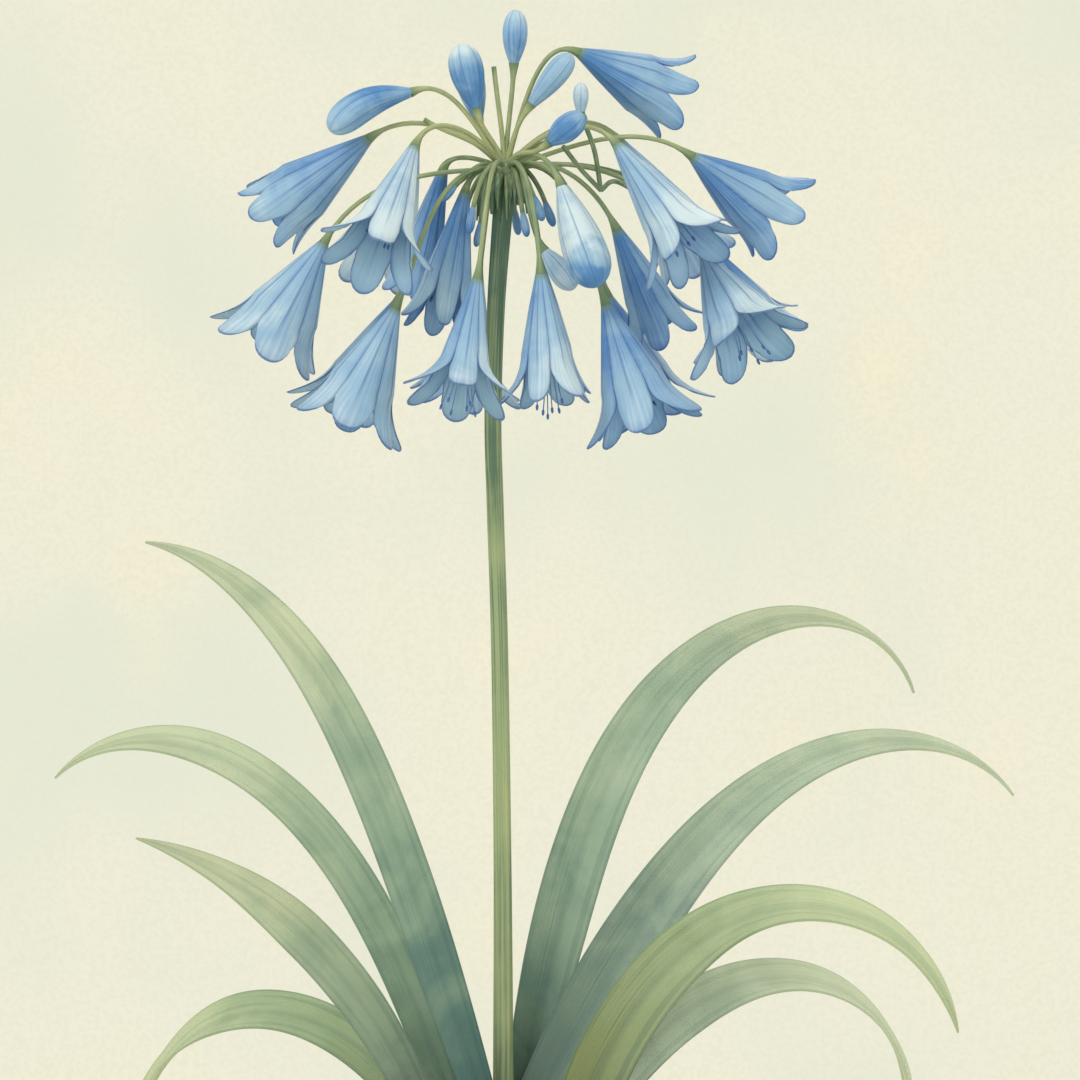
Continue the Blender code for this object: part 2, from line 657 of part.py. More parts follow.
def build():
    """Builds the whole plant."""
    clear_scene()
    group = new_collection("agapanthus")
    cutters = new_collection("cutters")
    feet = []
    blooms = list(BLOOMS)
    for index in TWIN_BLOOMS:
        foot, mouth, throat, lip, roll, rise = BLOOMS[index]
        blooms.append((twin(foot), twin(mouth), throat, lip, roll + TWIN_ROLL, rise))
    for number, (foot, mouth, throat, lip, roll, rise) in enumerate(blooms, 1):
        axis = build_bloom(f"bloom_{number:02d}", foot, mouth, throat, lip, roll, group)
        feet.append((Vector(foot), axis, RECEPTACLE_RADIUS, rise))
    buds = list(BUDS)
    for index in TWIN_BUDS:
        foot, tip, thick, bow, thickest_at = BUDS[index]
        buds.append((twin(foot), twin(tip), thick, bow, thickest_at))
    for number, (foot, tip, thick, bow, thickest_at) in enumerate(buds, 1):
        axis = build_bud(f"bud_{number:02d}", foot, tip, thick, bow, thickest_at, group)
        feet.append((Vector(foot), axis, min(RECEPTACLE_RADIUS, thick * BUD_FOOT), PEDICEL_RISE))
    for number, (foot, tip, thick, bow, thickest_at) in enumerate(YOUNG_BUDS, 1):
        axis = build_bud(f"young_bud_{number}", foot, tip, thick, bow, thickest_at, group)
        feet.append((Vector(foot), axis, PEDICEL_RADIUS, PEDICEL_RISE))
    for foot in BARE_PEDICELS:
        feet.append((Vector(foot), Vector(foot).normalized(), PEDICEL_RADIUS, PEDICEL_RISE))
    build_stalk(group, feet)
    for name, numbers in LEAVES.items():
        build_leaf(name, numbers, group)
        leaf_hole(name + "_hole", numbers, cutters)
    scape_hole(cutters)
    build_pot(group)
    build_soil(group, cutters)


build()
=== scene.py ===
# %% [markdown]
# # An agapanthus in a clay pot
#
# This lesson dresses a plain construction model of an agapanthus: a round head of drooping blue bells on a tall
# green stem, with strap leaves that arch out of a clay pot. The construction model, called the frame, gives every
# place. Each piece made here stands exactly where the frame has it, with finer shapes and painted surfaces.

import math
import random
from collections import namedtuple

import bpy
from mathutils import Matrix, Vector, noise


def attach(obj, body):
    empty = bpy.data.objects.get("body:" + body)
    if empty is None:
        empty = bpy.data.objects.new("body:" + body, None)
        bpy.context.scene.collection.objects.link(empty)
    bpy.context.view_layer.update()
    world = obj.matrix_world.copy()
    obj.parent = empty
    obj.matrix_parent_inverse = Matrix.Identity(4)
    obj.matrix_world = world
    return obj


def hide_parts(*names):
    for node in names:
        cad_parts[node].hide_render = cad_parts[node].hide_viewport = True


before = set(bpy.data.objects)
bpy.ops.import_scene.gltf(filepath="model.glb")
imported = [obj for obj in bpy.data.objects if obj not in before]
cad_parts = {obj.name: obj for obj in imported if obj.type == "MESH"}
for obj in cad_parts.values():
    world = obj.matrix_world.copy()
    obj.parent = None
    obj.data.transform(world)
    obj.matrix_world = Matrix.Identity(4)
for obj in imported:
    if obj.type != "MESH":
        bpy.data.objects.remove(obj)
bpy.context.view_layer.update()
MM = 0.001
UP = Vector((0.0, 0.0, 1.0))

# %% [markdown]
# The operators used below act on whatever is selected, and the loaded frame is selected, so a helper clears the
# selection and makes one piece the active one. Another selects a piece's whole mesh in edit mode and does some work
# there.

# %% Helpers for operators


def only(piece):
    """Makes a piece the one selected and active object."""
    bpy.ops.object.select_all(action="DESELECT")
    piece.select_set(True)
    bpy.context.view_layer.objects.active = piece


def in_edit_mode(piece, work):
    """Selects a piece's whole mesh in edit mode and does some work there."""
    only(piece)
    bpy.ops.object.mode_set(mode="EDIT")
    bpy.ops.mesh.select_all(action="SELECT")
    work()
    bpy.ops.object.mode_set(mode="OBJECT")


def weld(piece, reach=0.02):
    """Merges vertices that lie in one place, and points the faces outwards."""

    def work():
        bpy.ops.mesh.remove_doubles(threshold=reach * MM)
        bpy.ops.mesh.normals_make_consistent(inside=False)

    in_edit_mode(piece, work)


def apply_all(piece):
    """Applies every modifier of a piece."""
    only(piece)
    for modifier in list(piece.modifiers):
        bpy.ops.object.modifier_apply(modifier=modifier.name)


def join(name, pieces):
    """Joins several pieces into one object."""
    only(pieces[0])
    for piece in pieces[1:]:
        piece.select_set(True)
    bpy.ops.object.join()
    whole = bpy.context.object
    whole.name = name
    whole.data.name = name
    return whole


def smooth(piece, angle=60.0):
    """Shades a piece smooth, apart from edges sharper than the given angle."""
    only(piece)
    bpy.ops.object.shade_smooth_by_angle(angle=math.radians(angle))


bpy.ops.object.select_all(action="DESELECT")

# %% [markdown]
# Materials are made of nodes. One helper adds nodes to a tree and joins them, so that a material below reads as
# arithmetic: it ramps, mixes and adds values. Colours are written as a painter would mix them on screen, from 0 to
# 255, and are turned into the linear values that Blender works with.

# %% Helpers for materials


def mixed(red, green, blue):
    """Turns a screen colour into a linear one."""
    linear = []
    for value in (red, green, blue):
        value /= 255.0
        linear.append(value / 12.92 if value <= 0.04045 else ((value + 0.055) / 1.055) ** 2.4)
    return (*linear, 1.0)


class Wiring:
    """Adds nodes to a tree and joins them."""

    def __init__(self, tree):
        self.tree = tree

    def node(self, kind, **settings):
        """A new node with some of its settings."""
        made = self.tree.nodes.new(kind)
        for key, value in settings.items():
            setattr(made, key, value)
        return made

    def join(self, source, target):
        """Joins an output to an input, or sets the input to a value."""
        if isinstance(source, bpy.types.NodeSocket):
            self.tree.links.new(source, target)
        else:
            target.default_value = source

    def math(self, operation, first, second=0.0):
        """One step of arithmetic."""
        made = self.node("ShaderNodeMath", operation=operation)
        self.join(first, made.inputs[0])
        self.join(second, made.inputs[1])
        return made.outputs[0]

    def plus(self, first, second):
        """The sum of two values."""
        return self.math("ADD", first, second)

    def minus(self, first, second):
        """The first value less the second."""
        return self.math("SUBTRACT", first, second)

    def times(self, first, second):
        """The product of two values."""
        return self.math("MULTIPLY", first, second)

    def larger(self, first, second):
        """The larger of two values."""
        return self.math("MAXIMUM", first, second)

    def sway(self, value, amount):
        """Makes a value that runs from 0 to 1 run evenly about 0 instead, by an amount from end to end."""
        return self.times(self.minus(value, 0.5), amount)

    def ramp(self, value, low, high, start=0.0, end=1.0):
        """Smoothly maps a value from one range to another."""
        made = self.node("ShaderNodeMapRange", interpolation_type="SMOOTHSTEP")
        for source, label in ((value, "Value"), (low, "From Min"), (high, "From Max")):
            self.join(source, made.inputs[label])
        self.join(start, made.inputs["To Min"])
        self.join(end, made.inputs["To Max"])
        return made.outputs["Result"]

    def mix(self, share, first, second):
        """Mixes two colours."""
        made = self.node("ShaderNodeMix", data_type="RGBA")
        sockets = [socket for socket in made.inputs if socket.enabled]
        for source, socket in zip((share, first, second), sockets):
            self.join(source, socket)
        return next(socket for socket in made.outputs if socket.enabled)

    def group(self, tree, **values):
        """Places a node group and sets its inputs."""
        made = self.node("ShaderNodeGroup", node_tree=tree)
        for key, value in values.items():
            self.join(value, made.inputs[key.replace("_", " ")])
        return made

    def uv(self):
        """The U and V of the surface."""
        place = self.node("ShaderNodeUVMap")
        parts = self.node("ShaderNodeSeparateXYZ")
        self.join(place.outputs["UV"], parts.inputs[0])
        return parts.outputs["X"], parts.outputs["Y"]

    def attribute(self, name):
        """A number stored on the piece."""
        return self.node("ShaderNodeAttribute", attribute_name=name).outputs["Fac"]


def new_material(name, roughness):
    """A material with its shader and a wiring helper."""
    made = bpy.data.materials.new(name)
    made.use_nodes = True
    shader = made.node_tree.nodes["Principled BSDF"]
    shader.inputs["Roughness"].default_value = roughness
    return made, shader, Wiring(made.node_tree)


def add_bump(wire, shader, height, distance, strength=1.0):
    """Fine relief from a height."""
    bump = wire.node("ShaderNodeBump")
    bump.inputs["Distance"].default_value = distance * MM
    bump.inputs["Strength"].default_value = strength
    wire.join(height, bump.inputs["Height"])
    wire.join(bump.outputs["Normal"], shader.inputs["Normal"])


# %% [markdown]
# ## Camera, light and floor
#
# The plant is seen level from straight in front, through a long lens that keeps the head and the leaves in the same
# scale. The picture takes in 486 mm, from just above the top bud down to a little above the pot's rim.

# %% Camera
VIEW_SIZE = 486 * MM
VIEW_DISTANCE = 2.43
VIEW_MIDDLE = Vector((1.35, 0.0, 429.5)) * MM
SENSOR = 36.0

bpy.ops.object.camera_add(location=VIEW_MIDDLE - Vector((0.0, VIEW_DISTANCE, 0.0)), rotation=(math.pi / 2, 0.0, 0.0))
camera = bpy.context.object
camera.name = "camera"
camera.data.sensor_width = SENSOR
camera.data.lens = SENSOR * VIEW_DISTANCE / VIEW_SIZE
camera.data.clip_end = 50.0
bpy.context.scene.camera = camera
bpy.context.scene.view_settings.view_transform = "Standard"
print("lens", round(camera.data.lens, 1), "mm")

# %% [markdown]
# Soft light comes from a pale sky all round, a large lamp up at the left, and weaker ones at the right and behind.
# The sky is painted like old paper, in washes so faint that they light the plant evenly.

# %% Light
# Scale of the clouds, the noise value where they start, how strong they are, and their colour
SKY_WASHES = (
    (13.0, 0.42, 0.9, mixed(229, 233, 213)),
    (19.0, 0.50, 0.8, mixed(248, 240, 208)),
    (1100.0, 0.40, 0.5, mixed(233, 229, 208)),
)


def paper(wire):
    """Cream paper with large washes of pale blue-green and straw, and a fine grain."""
    place = wire.node("ShaderNodeTexCoord")
    colour = mixed(241, 238, 216)
    for scale, cover, strength, paint in SKY_WASHES:
        clouds = wire.node("ShaderNodeTexNoise")
        clouds.inputs["Scale"].default_value = scale
        clouds.inputs["Detail"].default_value = 3.0
        wire.join(place.outputs["Generated"], clouds.inputs["Vector"])
        colour = wire.mix(wire.ramp(clouds.outputs["Fac"], cover, cover + 0.25, 0.0, strength), colour, paint)
    return colour


LAMP_AIM = Vector((0.0, 0.0, 0.4))

world = bpy.data.worlds.new("sky")
bpy.context.scene.world = world
world.use_nodes = True
sky = world.node_tree.nodes["Background"]
sky_wire = Wiring(world.node_tree)
sky_wire.join(paper(sky_wire), sky.inputs["Color"])


def add_lamp(name, place, size, power):
    """A soft square lamp of a size in metres and a power in watts, which points at the middle of the plant."""
    bpy.ops.object.light_add(type="AREA", location=place)
    lamp = bpy.context.object
    lamp.name = name
    lamp.data.size = size
    lamp.data.energy = power
    lamp.rotation_euler = (LAMP_AIM - Vector(place)).to_track_quat("-Z", "Y").to_euler()


add_lamp("key", (-1.3, -1.9, 2.0), 1.2, 26.0)
add_lamp("fill", (1.9, -1.4, 0.9), 1.4, 7.0)
add_lamp("back", (0.4, 1.8, 1.7), 1.0, 9.0)
print("sky and 3 lamps")

# %% [markdown]
# The floor is a pale round sheet. It thins out towards its edge, so that from any side it melts into the sky.

# %% Floor
FLOOR_RADIUS = 1.5
FLOOR_SOLID = 0.35  # how far out it is still solid

bpy.ops.mesh.primitive_circle_add(vertices=96, radius=FLOOR_RADIUS, fill_type="NGON")
floor = bpy.context.object
floor.name = "floor"


def floor_material():
    """Pale paper that fades out with its distance from the pot."""
    made, shader, wire = new_material("floor_paper", 0.9)
    shader.inputs["Base Color"].default_value = mixed(226, 226, 211)
    place = wire.node("ShaderNodeTexCoord")
    distance = wire.node("ShaderNodeVectorMath", operation="LENGTH")
    wire.join(place.outputs["Object"], distance.inputs[0])
    fade = wire.ramp(distance.outputs["Value"], FLOOR_SOLID, FLOOR_RADIUS * 0.97, 1.0, 0.0)
    wire.join(fade, shader.inputs["Alpha"])
    return made


floor.data.materials.append(floor_material())
print("floor", FLOOR_RADIUS * 2, "m across")

# %% [markdown]
# ## Places on the plant
#
# These are the same places that the frame is built from, in millimetres: the foot of the stem, the hub that all
# flower stalks leave, and for each bloom and bud the point where it sits and the point that it reaches.

# %% Places
SOIL_TOP = 155.0
ROOT_DEPTH = 12.0
GAP = 0.3
SCAPE_FOOT = Vector((-15.3, 0.0, SOIL_TOP))
HUB = SCAPE_FOOT + Vector((0.9, 0.0, 441.0))

# Neck, middle of the mouth, radius of the throat and of the lip, roll, how steeply the stalk rises, and tone from
# pale (-1) to deep (1)
Bloom = namedtuple("Bloom", "neck mouth throat lip roll rise tone")
BLOOMS = (
    ((-61, -4, 14), (-109, 8, -22), 14.5, 18.0, 0.0, 0.8, 0.0),
    ((-40, -45, 7), (-58, -74, -46), 12.5, 25.0, 10.0, 0.8, -1.0),
    ((-28, 4, 0), (-42, 22, -53), 9.0, 14.0, 0.0, 0.5, 0.6),
    ((-81, -8, -33), (-109, -2, -81), 16.5, 27.0, 20.0, 0.0, -0.5),
    ((-48, -40, -64), (-71, -41, -117), 15.0, 26.0, 0.0, 0.1, -0.25),
    ((-18, -10, -11), (-30, -20, -72), 11.0, 16.0, 30.0, 0.35, 0.2),
    ((-12, -54, -52), (-20, -71, -106), 10.5, 25.0, 0.0, 0.35, -0.4),
    ((16, -49, -49), (20, -54, -106), 10.8, 18.5, 30.0, 0.35, -0.1),
    ((45, -29, -62), (64, -32, -118), 15.0, 26.5, 0.0, 0.35, 0.4),
    ((50, -8, -27), (72, 8, -74), 10.5, 18.0, 15.0, 0.35, 0.8),
    ((50, -30, 9), (85, -52, -42), 12.0, 23.0, 0.0, 0.8, -0.7),
    ((89, -22, -40), (110, -42, -82), 15.0, 27.0, 10.0, 0.2, -0.3),
    ((84, -4, 6), (125, 16, -22), 14.5, 21.0, 0.0, 0.3, 0.4),
    ((33, 0, 53), (77, 22, 33), 13.5, 19.0, 20.0, 0.9, 0.5),
)
TWIN_BLOOMS = (1, 4, 6, 7, 8, 10, 11)
TWIN_WIDER = 1.04
TWIN_HIGHER = 6.0
TWIN_ROLL = 20.0

# Foot, tip, thickness, bow, where it is thickest, and tone at the foot and at the tip
Bud = namedtuple("Bud", "foot tip thick bow thickest_at tone_foot tone_tip")
BUDS = (
    ((-42, -12, 34), (-78, -20, 16), 15.5, 4.0, 0.68, 0.7, -0.2),
    ((18, -28, -38), (31, -32, -55), 11.0, 0.0, 0.6, -0.7, -0.6),
    ((25, -42, -10), (41, -52, -55), 19.0, 0.0, 0.72, -0.9, 1.0),
    ((12, -8, 29), (30, -12, 51), 11.0, 0.0, 0.65, 0.2, -0.3),
    ((20, -32, 10), (35, -38, 22), 12.0, 0.0, 0.5, 0.9, 0.5),
    ((34, -14, 25), (34, -16, 38), 6.8, 0.0, 0.55, -0.5, -0.9),
    ((4, 0, 48), (5, -2, 72), 11.5, 0.0, 0.55, 0.3, -0.6),
    ((-13, -6, 27), (-20, -8, 56), 15.5, 0.0, 0.62, 0.9, -1.3),
    ((-12, 10, 24), (-18, 16, 51), 13.0, 0.0, 0.62, 0.6, -0.4),
)
TWIN_BUDS = (2, 4)
YOUNG_BUDS = (
    ((-22, -14, -8), (-28, -18, -15), 3.6, 0.0, 0.6, 0.5, 0.9),
    ((-14, -20, -18), (-16, -23, -30), 4.2, 0.0, 0.6, 0.3, 0.9),
    ((13, -16, -13), (17, -18, -24), 4.4, 0.0, 0.6, 0.5, 0.9),
    ((8, -14, -20), (10, -16, -31), 3.8, 0.0, 0.6, 0.3, 0.9),
    ((4, 18, -16), (6, 22, -28), 4.0, 0.0, 0.6, 0.5, 0.9),
    ((-11, -6, -24), (-13, -7, -35), 3.4, 0.0, 0.6, 0.3, 0.9),
    ((-17, 10, -15), (-20, 12, -27), 4.0, 0.0, 0.6, 0.5, 0.9),
    ((18, 6, -14), (22, 8, -25), 4.0, 0.0, 0.6, 0.5, 0.9),
)


def twin(point):
    """The matching place on the far side of the head."""
    return Vector((point.x * TWIN_WIDER, -point.y, point.z + TWIN_HIGHER))


def read_rows(kind, rows):
    """Names the values of each row, and makes vectors of its first two, the places."""
    return [kind(Vector(start), Vector(end), *rest) for start, end, *rest in rows]


all_blooms = read_rows(Bloom, BLOOMS)
for index in TWIN_BLOOMS:
    near = all_blooms[index]
    all_blooms.append(near._replace(neck=twin(near.neck), mouth=twin(near.mouth), roll=near.roll + TWIN_ROLL))
all_buds = read_rows(Bud, BUDS)
for index in TWIN_BUDS:
    near = all_buds[index]
    all_buds.append(near._replace(foot=twin(near.foot), tip=twin(near.tip)))
young_buds = read_rows(Bud, YOUNG_BUDS)
print(len(all_blooms), "blooms,", len(all_buds), "buds and", len(young_buds), "young buds")

# %% [markdown]
# ## Shared paint
#
# Nearly every surface of the plant is mottled, as if it was washed on wet: large soft clouds and a fine grain. That
# is one node group with a scale and a seed. A second group draws fine lines along a blade or petal from its UV map,
# where U runs across from edge to edge and V runs from foot to tip.

# %% Node groups


def new_group(name, inputs, outputs):
    """A shader node group with named number inputs and outputs."""
    group = bpy.data.node_groups.new(name, "ShaderNodeTree")
    for label, value in inputs:
        socket = group.interface.new_socket(label, in_out="INPUT", socket_type="NodeSocketFloat")
        socket.default_value = value
    for label in outputs:
        group.interface.new_socket(label, in_out="OUTPUT", socket_type="NodeSocketFloat")
    return group, group.nodes.new("NodeGroupInput"), group.nodes.new("NodeGroupOutput")


def wash_group():
    """Soft clouds and fine grain, each from 0 to 1, at a scale in clouds a metre."""
    group, start, end = new_group("wash", (("Scale", 40.0), ("Seed", 0.0)), ("Clouds", "Grain"))
    wire = Wiring(group)
    place = wire.node("ShaderNodeTexCoord")
    clouds = wire.node("ShaderNodeTexNoise", noise_dimensions="4D")
    clouds.inputs["Detail"].default_value = 4.0
    clouds.inputs["Roughness"].default_value = 0.55
    clouds.inputs["Distortion"].default_value = 0.6
    grain = wire.node("ShaderNodeTexNoise", noise_dimensions="3D")
    grain.inputs["Scale"].default_value = 900.0
    grain.inputs["Detail"].default_value = 3.0
    for texture in (clouds, grain):
        wire.join(place.outputs["Object"], texture.inputs["Vector"])
    wire.join(start.outputs["Scale"], clouds.inputs["Scale"])
    wire.join(start.outputs["Seed"], clouds.inputs["W"])
    wire.join(wire.ramp(clouds.outputs["Fac"], 0.3, 0.7), end.inputs["Clouds"])
    wire.join(wire.ramp(grain.outputs["Fac"], 0.3, 0.7), end.inputs["Grain"])
    return group


def lines_group():
    """Fine lines along V, at a number of lines across, each from 0 to 1."""
    group, start, end = new_group("lines", (("Count", 30.0), ("Stretch", 3.0)), ("Lines",))
    wire = Wiring(group)
    across, along = wire.uv()
    place = wire.node("ShaderNodeCombineXYZ")
    wire.join(wire.times(across, start.outputs["Count"]), place.inputs["X"])
    wire.join(wire.times(along, start.outputs["Stretch"]), place.inputs["Y"])
    streaks = wire.node("ShaderNodeTexNoise", noise_dimensions="2D")
    streaks.inputs["Scale"].default_value = 1.0
    streaks.inputs["Detail"].default_value = 3.0
    wire.join(place.outputs[0], streaks.inputs["Vector"])
    wire.join(wire.ramp(streaks.outputs["Fac"], 0.3, 0.7), end.inputs["Lines"])
    return group


WASH = wash_group()
LINES = lines_group()
print("paint groups", WASH.name, "and", LINES.name)

# %% [markdown]
# ## Petals
#
# An agapanthus flower is a narrow tube of six tepals that part at the throat into rounded lobes. Each tepal carries
# a soft line down its middle and its margin is drawn darker. Both follow the petal, so they are worked out from its
# UV map. The rest is a watery blue in large washes, deeper at the neck. The faces inside the bell are painted a
# deeper blue than the outside, as painted shade. A number stored on each tepal, its tone, makes it paler or deeper
# as a whole.

# %% Petal material
PETAL_PALE = mixed(200, 218, 233)
PETAL_MID = mixed(148, 183, 217)
PETAL_DEEP = mixed(84, 134, 195)
PETAL_VEIN = mixed(50, 94, 162)
# The inside of the bell is painted a deeper blue than the outside, as painted shade.
INSIDE_PAINTED_SHADE_PALE = mixed(160, 196, 228)
INSIDE_PAINTED_SHADE_DEEP = mixed(96, 146, 207)
NECK_GREEN = mixed(120, 148, 130)


def petal_blue(wire, depth):
    """The blue of a petal seen from outside, from pale to deep."""
    pale = wire.mix(wire.ramp(depth, 0.0, 0.5), PETAL_PALE, PETAL_MID)
    return wire.mix(wire.ramp(depth, 0.45, 1.0), pale, PETAL_DEEP)


def let_light_in(shader, weight):
    """Lets some light pass under the skin of a petal."""
    shader.inputs["Subsurface Weight"].default_value = weight
    shader.inputs["Subsurface Radius"].default_value = (0.6, 0.8, 1.0)
    shader.inputs["Subsurface Scale"].default_value = 1.5 * MM


def petal_material(name, inner):
    """Satin petal, seen from outside, or from inside the bell where it is painted deeper, as shade."""
    made, shader, wire = new_material(name, 0.55)
    across, along = wire.uv()
    wash = wire.group(WASH, Scale=26.0)
    lines = wire.group(LINES, Count=16.0, Stretch=1.6)
    middle = wire.math("ABSOLUTE", wire.minus(across, 0.5))
    depth = wire.plus(wire.times(wire.attribute("tone"), 0.34), 0.50)
    mottle = wire.plus(wire.sway(wash.outputs["Clouds"], 0.4), wire.sway(lines.outputs["Lines"], 0.18))
    depth = wire.plus(wire.plus(depth, mottle), wire.ramp(along, 0.0, 0.9, 0.22, -0.08))
    # Painted shade: the faces inside the bell take the deeper inner blues.
    if inner:
        body = wire.mix(wire.ramp(depth, 0.0, 1.0), INSIDE_PAINTED_SHADE_PALE, INSIDE_PAINTED_SHADE_DEEP)
    else:
        body = petal_blue(wire, depth)
    vein = wire.times(wire.ramp(middle, 0.01, 0.06, 1.0, 0.0), wire.ramp(along, 0.55, 0.92, 0.5, 0.0))
    margin = wire.larger(wire.ramp(middle, 0.34, 0.5, 0.0, 0.28), wire.ramp(middle, 0.462, 0.496, 0.0, 0.8))
    lip_edge = wire.larger(wire.ramp(along, 0.90, 1.0, 0.0, 0.25), wire.ramp(along, 0.972, 0.998, 0.0, 0.8))
    drawn = wire.larger(vein, wire.larger(margin, lip_edge))
    colour = wire.mix(drawn, body, PETAL_VEIN)
    neck = wire.ramp(along, 0.0, 0.07, 0.85, 0.0)
    wire.join(wire.mix(neck, colour, NECK_GREEN), shader.inputs["Base Color"])
    let_light_in(shader, 0.15)
    shader.inputs["Sheen Weight"].default_value = 0.12
    shader.inputs["Specular IOR Level"].default_value = 0.3
    relief = wire.plus(wire.times(vein, -1.0), wire.times(lines.outputs["Lines"], 0.35))
    add_bump(wire, shader, relief, 0.25, 0.6)
    return made


PETAL = petal_material("petal_outside", False)
PETAL_INSIDE_PAINTED_SHADE = petal_material("petal_inside_painted_shade", True)

# %% [markdown]
# A petal starts as a flat grid, whose UV map comes with it. A rule then carries every vertex of the grid to its
# place on the petal, as a hand would bend a sheet. Six petals are made side by side, and their tube edges are
# welded, while the lobes stay free. A Solidify modifier gives the sheet its thickness.

# %% Sheets and rules


def sheet(name, columns, rows):
    """A flat grid with a UV map."""
    bpy.ops.mesh.primitive_grid_add(x_subdivisions=columns, y_subdivisions=rows, size=1.0)
    piece = bpy.context.object
    piece.name = name
    piece.data.name = name
    return piece


def carry(piece, rule):
    """Moves every vertex of a sheet to where a rule of (U, V) puts it, in millimetres."""
    for vert in piece.data.vertices:
        vert.co = rule(vert.co.x + 0.5, vert.co.y + 0.5) * MM


def store(piece, name, value):
    """Stores one number on every vertex of a piece."""
    layer = piece.data.attributes.new(name, "FLOAT", "POINT")
    for item in layer.data:
        item.value = value


def place_along(piece, place, axis, roll):
    """Turns a piece that hangs down -Z along an axis, puts it in place, and applies both to its mesh."""
    turn = (-axis).to_track_quat("Z", "Y").to_matrix().to_4x4() @ Matrix.Rotation(math.radians(roll), 4, "Z")
    piece.data.transform(Matrix.Translation(place * MM) @ turn)
    piece.data.update()


# %% Bells
NECK_RADIUS = 2.4
THROAT_AT = 0.62
LIP_FLARE = 1.6
BELL_WALL = 0.6
TEPALS = 6
TEPAL_COLUMNS = 12
TEPAL_ROWS = 34
TEPAL_HALF_TURN = 30.0
LOBE_NOTCH = 0.38
LOBE_ROUND = 2.3
LOBE_OUT = 2.6
LOBE_WIDENS = (1.0, 5.0)  # in degrees, for an even and an odd tepal
LOBE_NARROWS = 6.0
LOBE_APART = 0.9  # odd lobes stand this far outside the throat's circle, and even ones inside it
RIB_HEIGHT = 0.45
RIB_WIDTH = 0.16
SEAM_DEPTH = 0.6
NECK_BLENDS = 4.0  # ribs and seams reach their full depth at one part in this many of the length


def bell_radius(share, throat, lip):
    """Radius of the bell at a share of its length."""
    if share <= THROAT_AT:
        return NECK_RADIUS + (throat - NECK_RADIUS) * share / THROAT_AT
    part = (share - THROAT_AT) / (1.0 - THROAT_AT)
    return throat + (lip - throat) * part**LIP_FLARE


def tepal_rule(turn, length, throat, lip, odd, curl, sway, ripple):
    """The rule that bends a flat grid into one tepal of a bell."""

    def rule(across, along):
        side = across * 2.0 - 1.0
        part = max(0.0, (along - THROAT_AT) / (1.0 - THROAT_AT))
        rounded = LOBE_NOTCH * part * abs(side) ** LOBE_ROUND
        share = THROAT_AT + (1.0 - THROAT_AT) * (part - rounded) if part > 0.0 else along
        widens = LOBE_WIDENS[odd] * math.sin(math.pi * min(1.0, part * 1.1))
        half = TEPAL_HALF_TURN + part * widens - LOBE_NARROWS * part**3
        angle = turn + math.radians(half * side + sway * part)
        blend = min(1.0, along * NECK_BLENDS)
        radius = bell_radius(share, throat, lip + curl * part) + LOBE_OUT * part**3 * (0.5 - side * side)
        radius += (LOBE_APART if odd else -LOBE_APART) * part
        radius += RIB_HEIGHT * math.exp(-((side / RIB_WIDTH) ** 2)) * blend
        radius -= SEAM_DEPTH * abs(side) ** 5 * blend * (1.0 - part)
        radius += ripple * part * part * abs(side) * math.sin(side * 5.0 + turn * 3.0)
        drop = share * length - curl * 0.5 * part**3
        return Vector((radius * math.cos(angle), radius * math.sin(angle), -drop))

    return rule


def bell(name, length, throat, lip, tone, luck):
    """An open flower that hangs from the origin down -Z."""
    tepals = []
    for number in range(TEPALS):
        tepal = sheet(f"{name}_tepal_{number}", TEPAL_COLUMNS, TEPAL_ROWS)
        turn = math.tau * number / TEPALS
        odd = number % 2 == 1
        curl = luck.uniform(0.0, 2.2) if odd else luck.uniform(-1.6, 0.0)
        sway, ripple = luck.uniform(-1.5, 1.5), luck.uniform(0.2, 0.6)
        carry(tepal, tepal_rule(turn, length, throat, lip, odd, curl, sway, ripple))
        store(tepal, "tone", tone + luck.uniform(-0.45, 0.45))
        tepals.append(tepal)
    flower = join(name, tepals)
    weld(flower)
    return flower


def close_and_thicken(flower):
    """Closes the foot of a bell and gives its sheet a wall, with the inner faces in the second material, painted as
    shade.
    """
    only(flower)
    bpy.ops.object.mode_set(mode="EDIT")
    bpy.ops.mesh.select_all(action="DESELECT")
    bpy.ops.object.mode_set(mode="OBJECT")
    for edge in flower.data.edges:
        first, second = (flower.data.vertices[i].co for i in edge.vertices)
        edge.select = max(abs(first.z), abs(second.z)) < 0.01 * MM
    bpy.ops.object.mode_set(mode="EDIT")
    bpy.ops.mesh.select_mode(type="EDGE")
    bpy.ops.mesh.edge_face_add()
    bpy.ops.mesh.select_mode(type="VERT")
    bpy.ops.mesh.select_all(action="SELECT")
    bpy.ops.mesh.normals_make_consistent(inside=False)
    bpy.ops.object.mode_set(mode="OBJECT")
    foot = max(flower.data.polygons, key=lambda face: len(face.vertices))
    if foot.normal.z < 0.0:
        in_edit_mode(flower, bpy.ops.mesh.flip_normals)
    wall = flower.modifiers.new("wall", "SOLIDIFY")
    wall.thickness = BELL_WALL * MM
    wall.offset = -1.0
    wall.material_offset = 1
    wall.material_offset_rim = 0
    apply_all(flower)


def finish_bloom(number, bloom):
    """Makes one bloom and sets it on its stalk."""
    name = f"bloom_{number:02d}"
    reach = bloom.mouth - bloom.neck
    luck = random.Random(100 + number)
    flower = bell(f"{name}_petals", reach.length, bloom.throat, bloom.lip, bloom.tone, luck)
    flower.data.materials.append(PETAL)
    flower.data.materials.append(PETAL_INSIDE_PAINTED_SHADE)
    close_and_thicken(flower)
    axis = reach.normalized()
    place_along(flower, HUB + bloom.neck + axis * GAP, axis, bloom.roll)
    smooth(flower)
    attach(flower, "root")
    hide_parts(name)


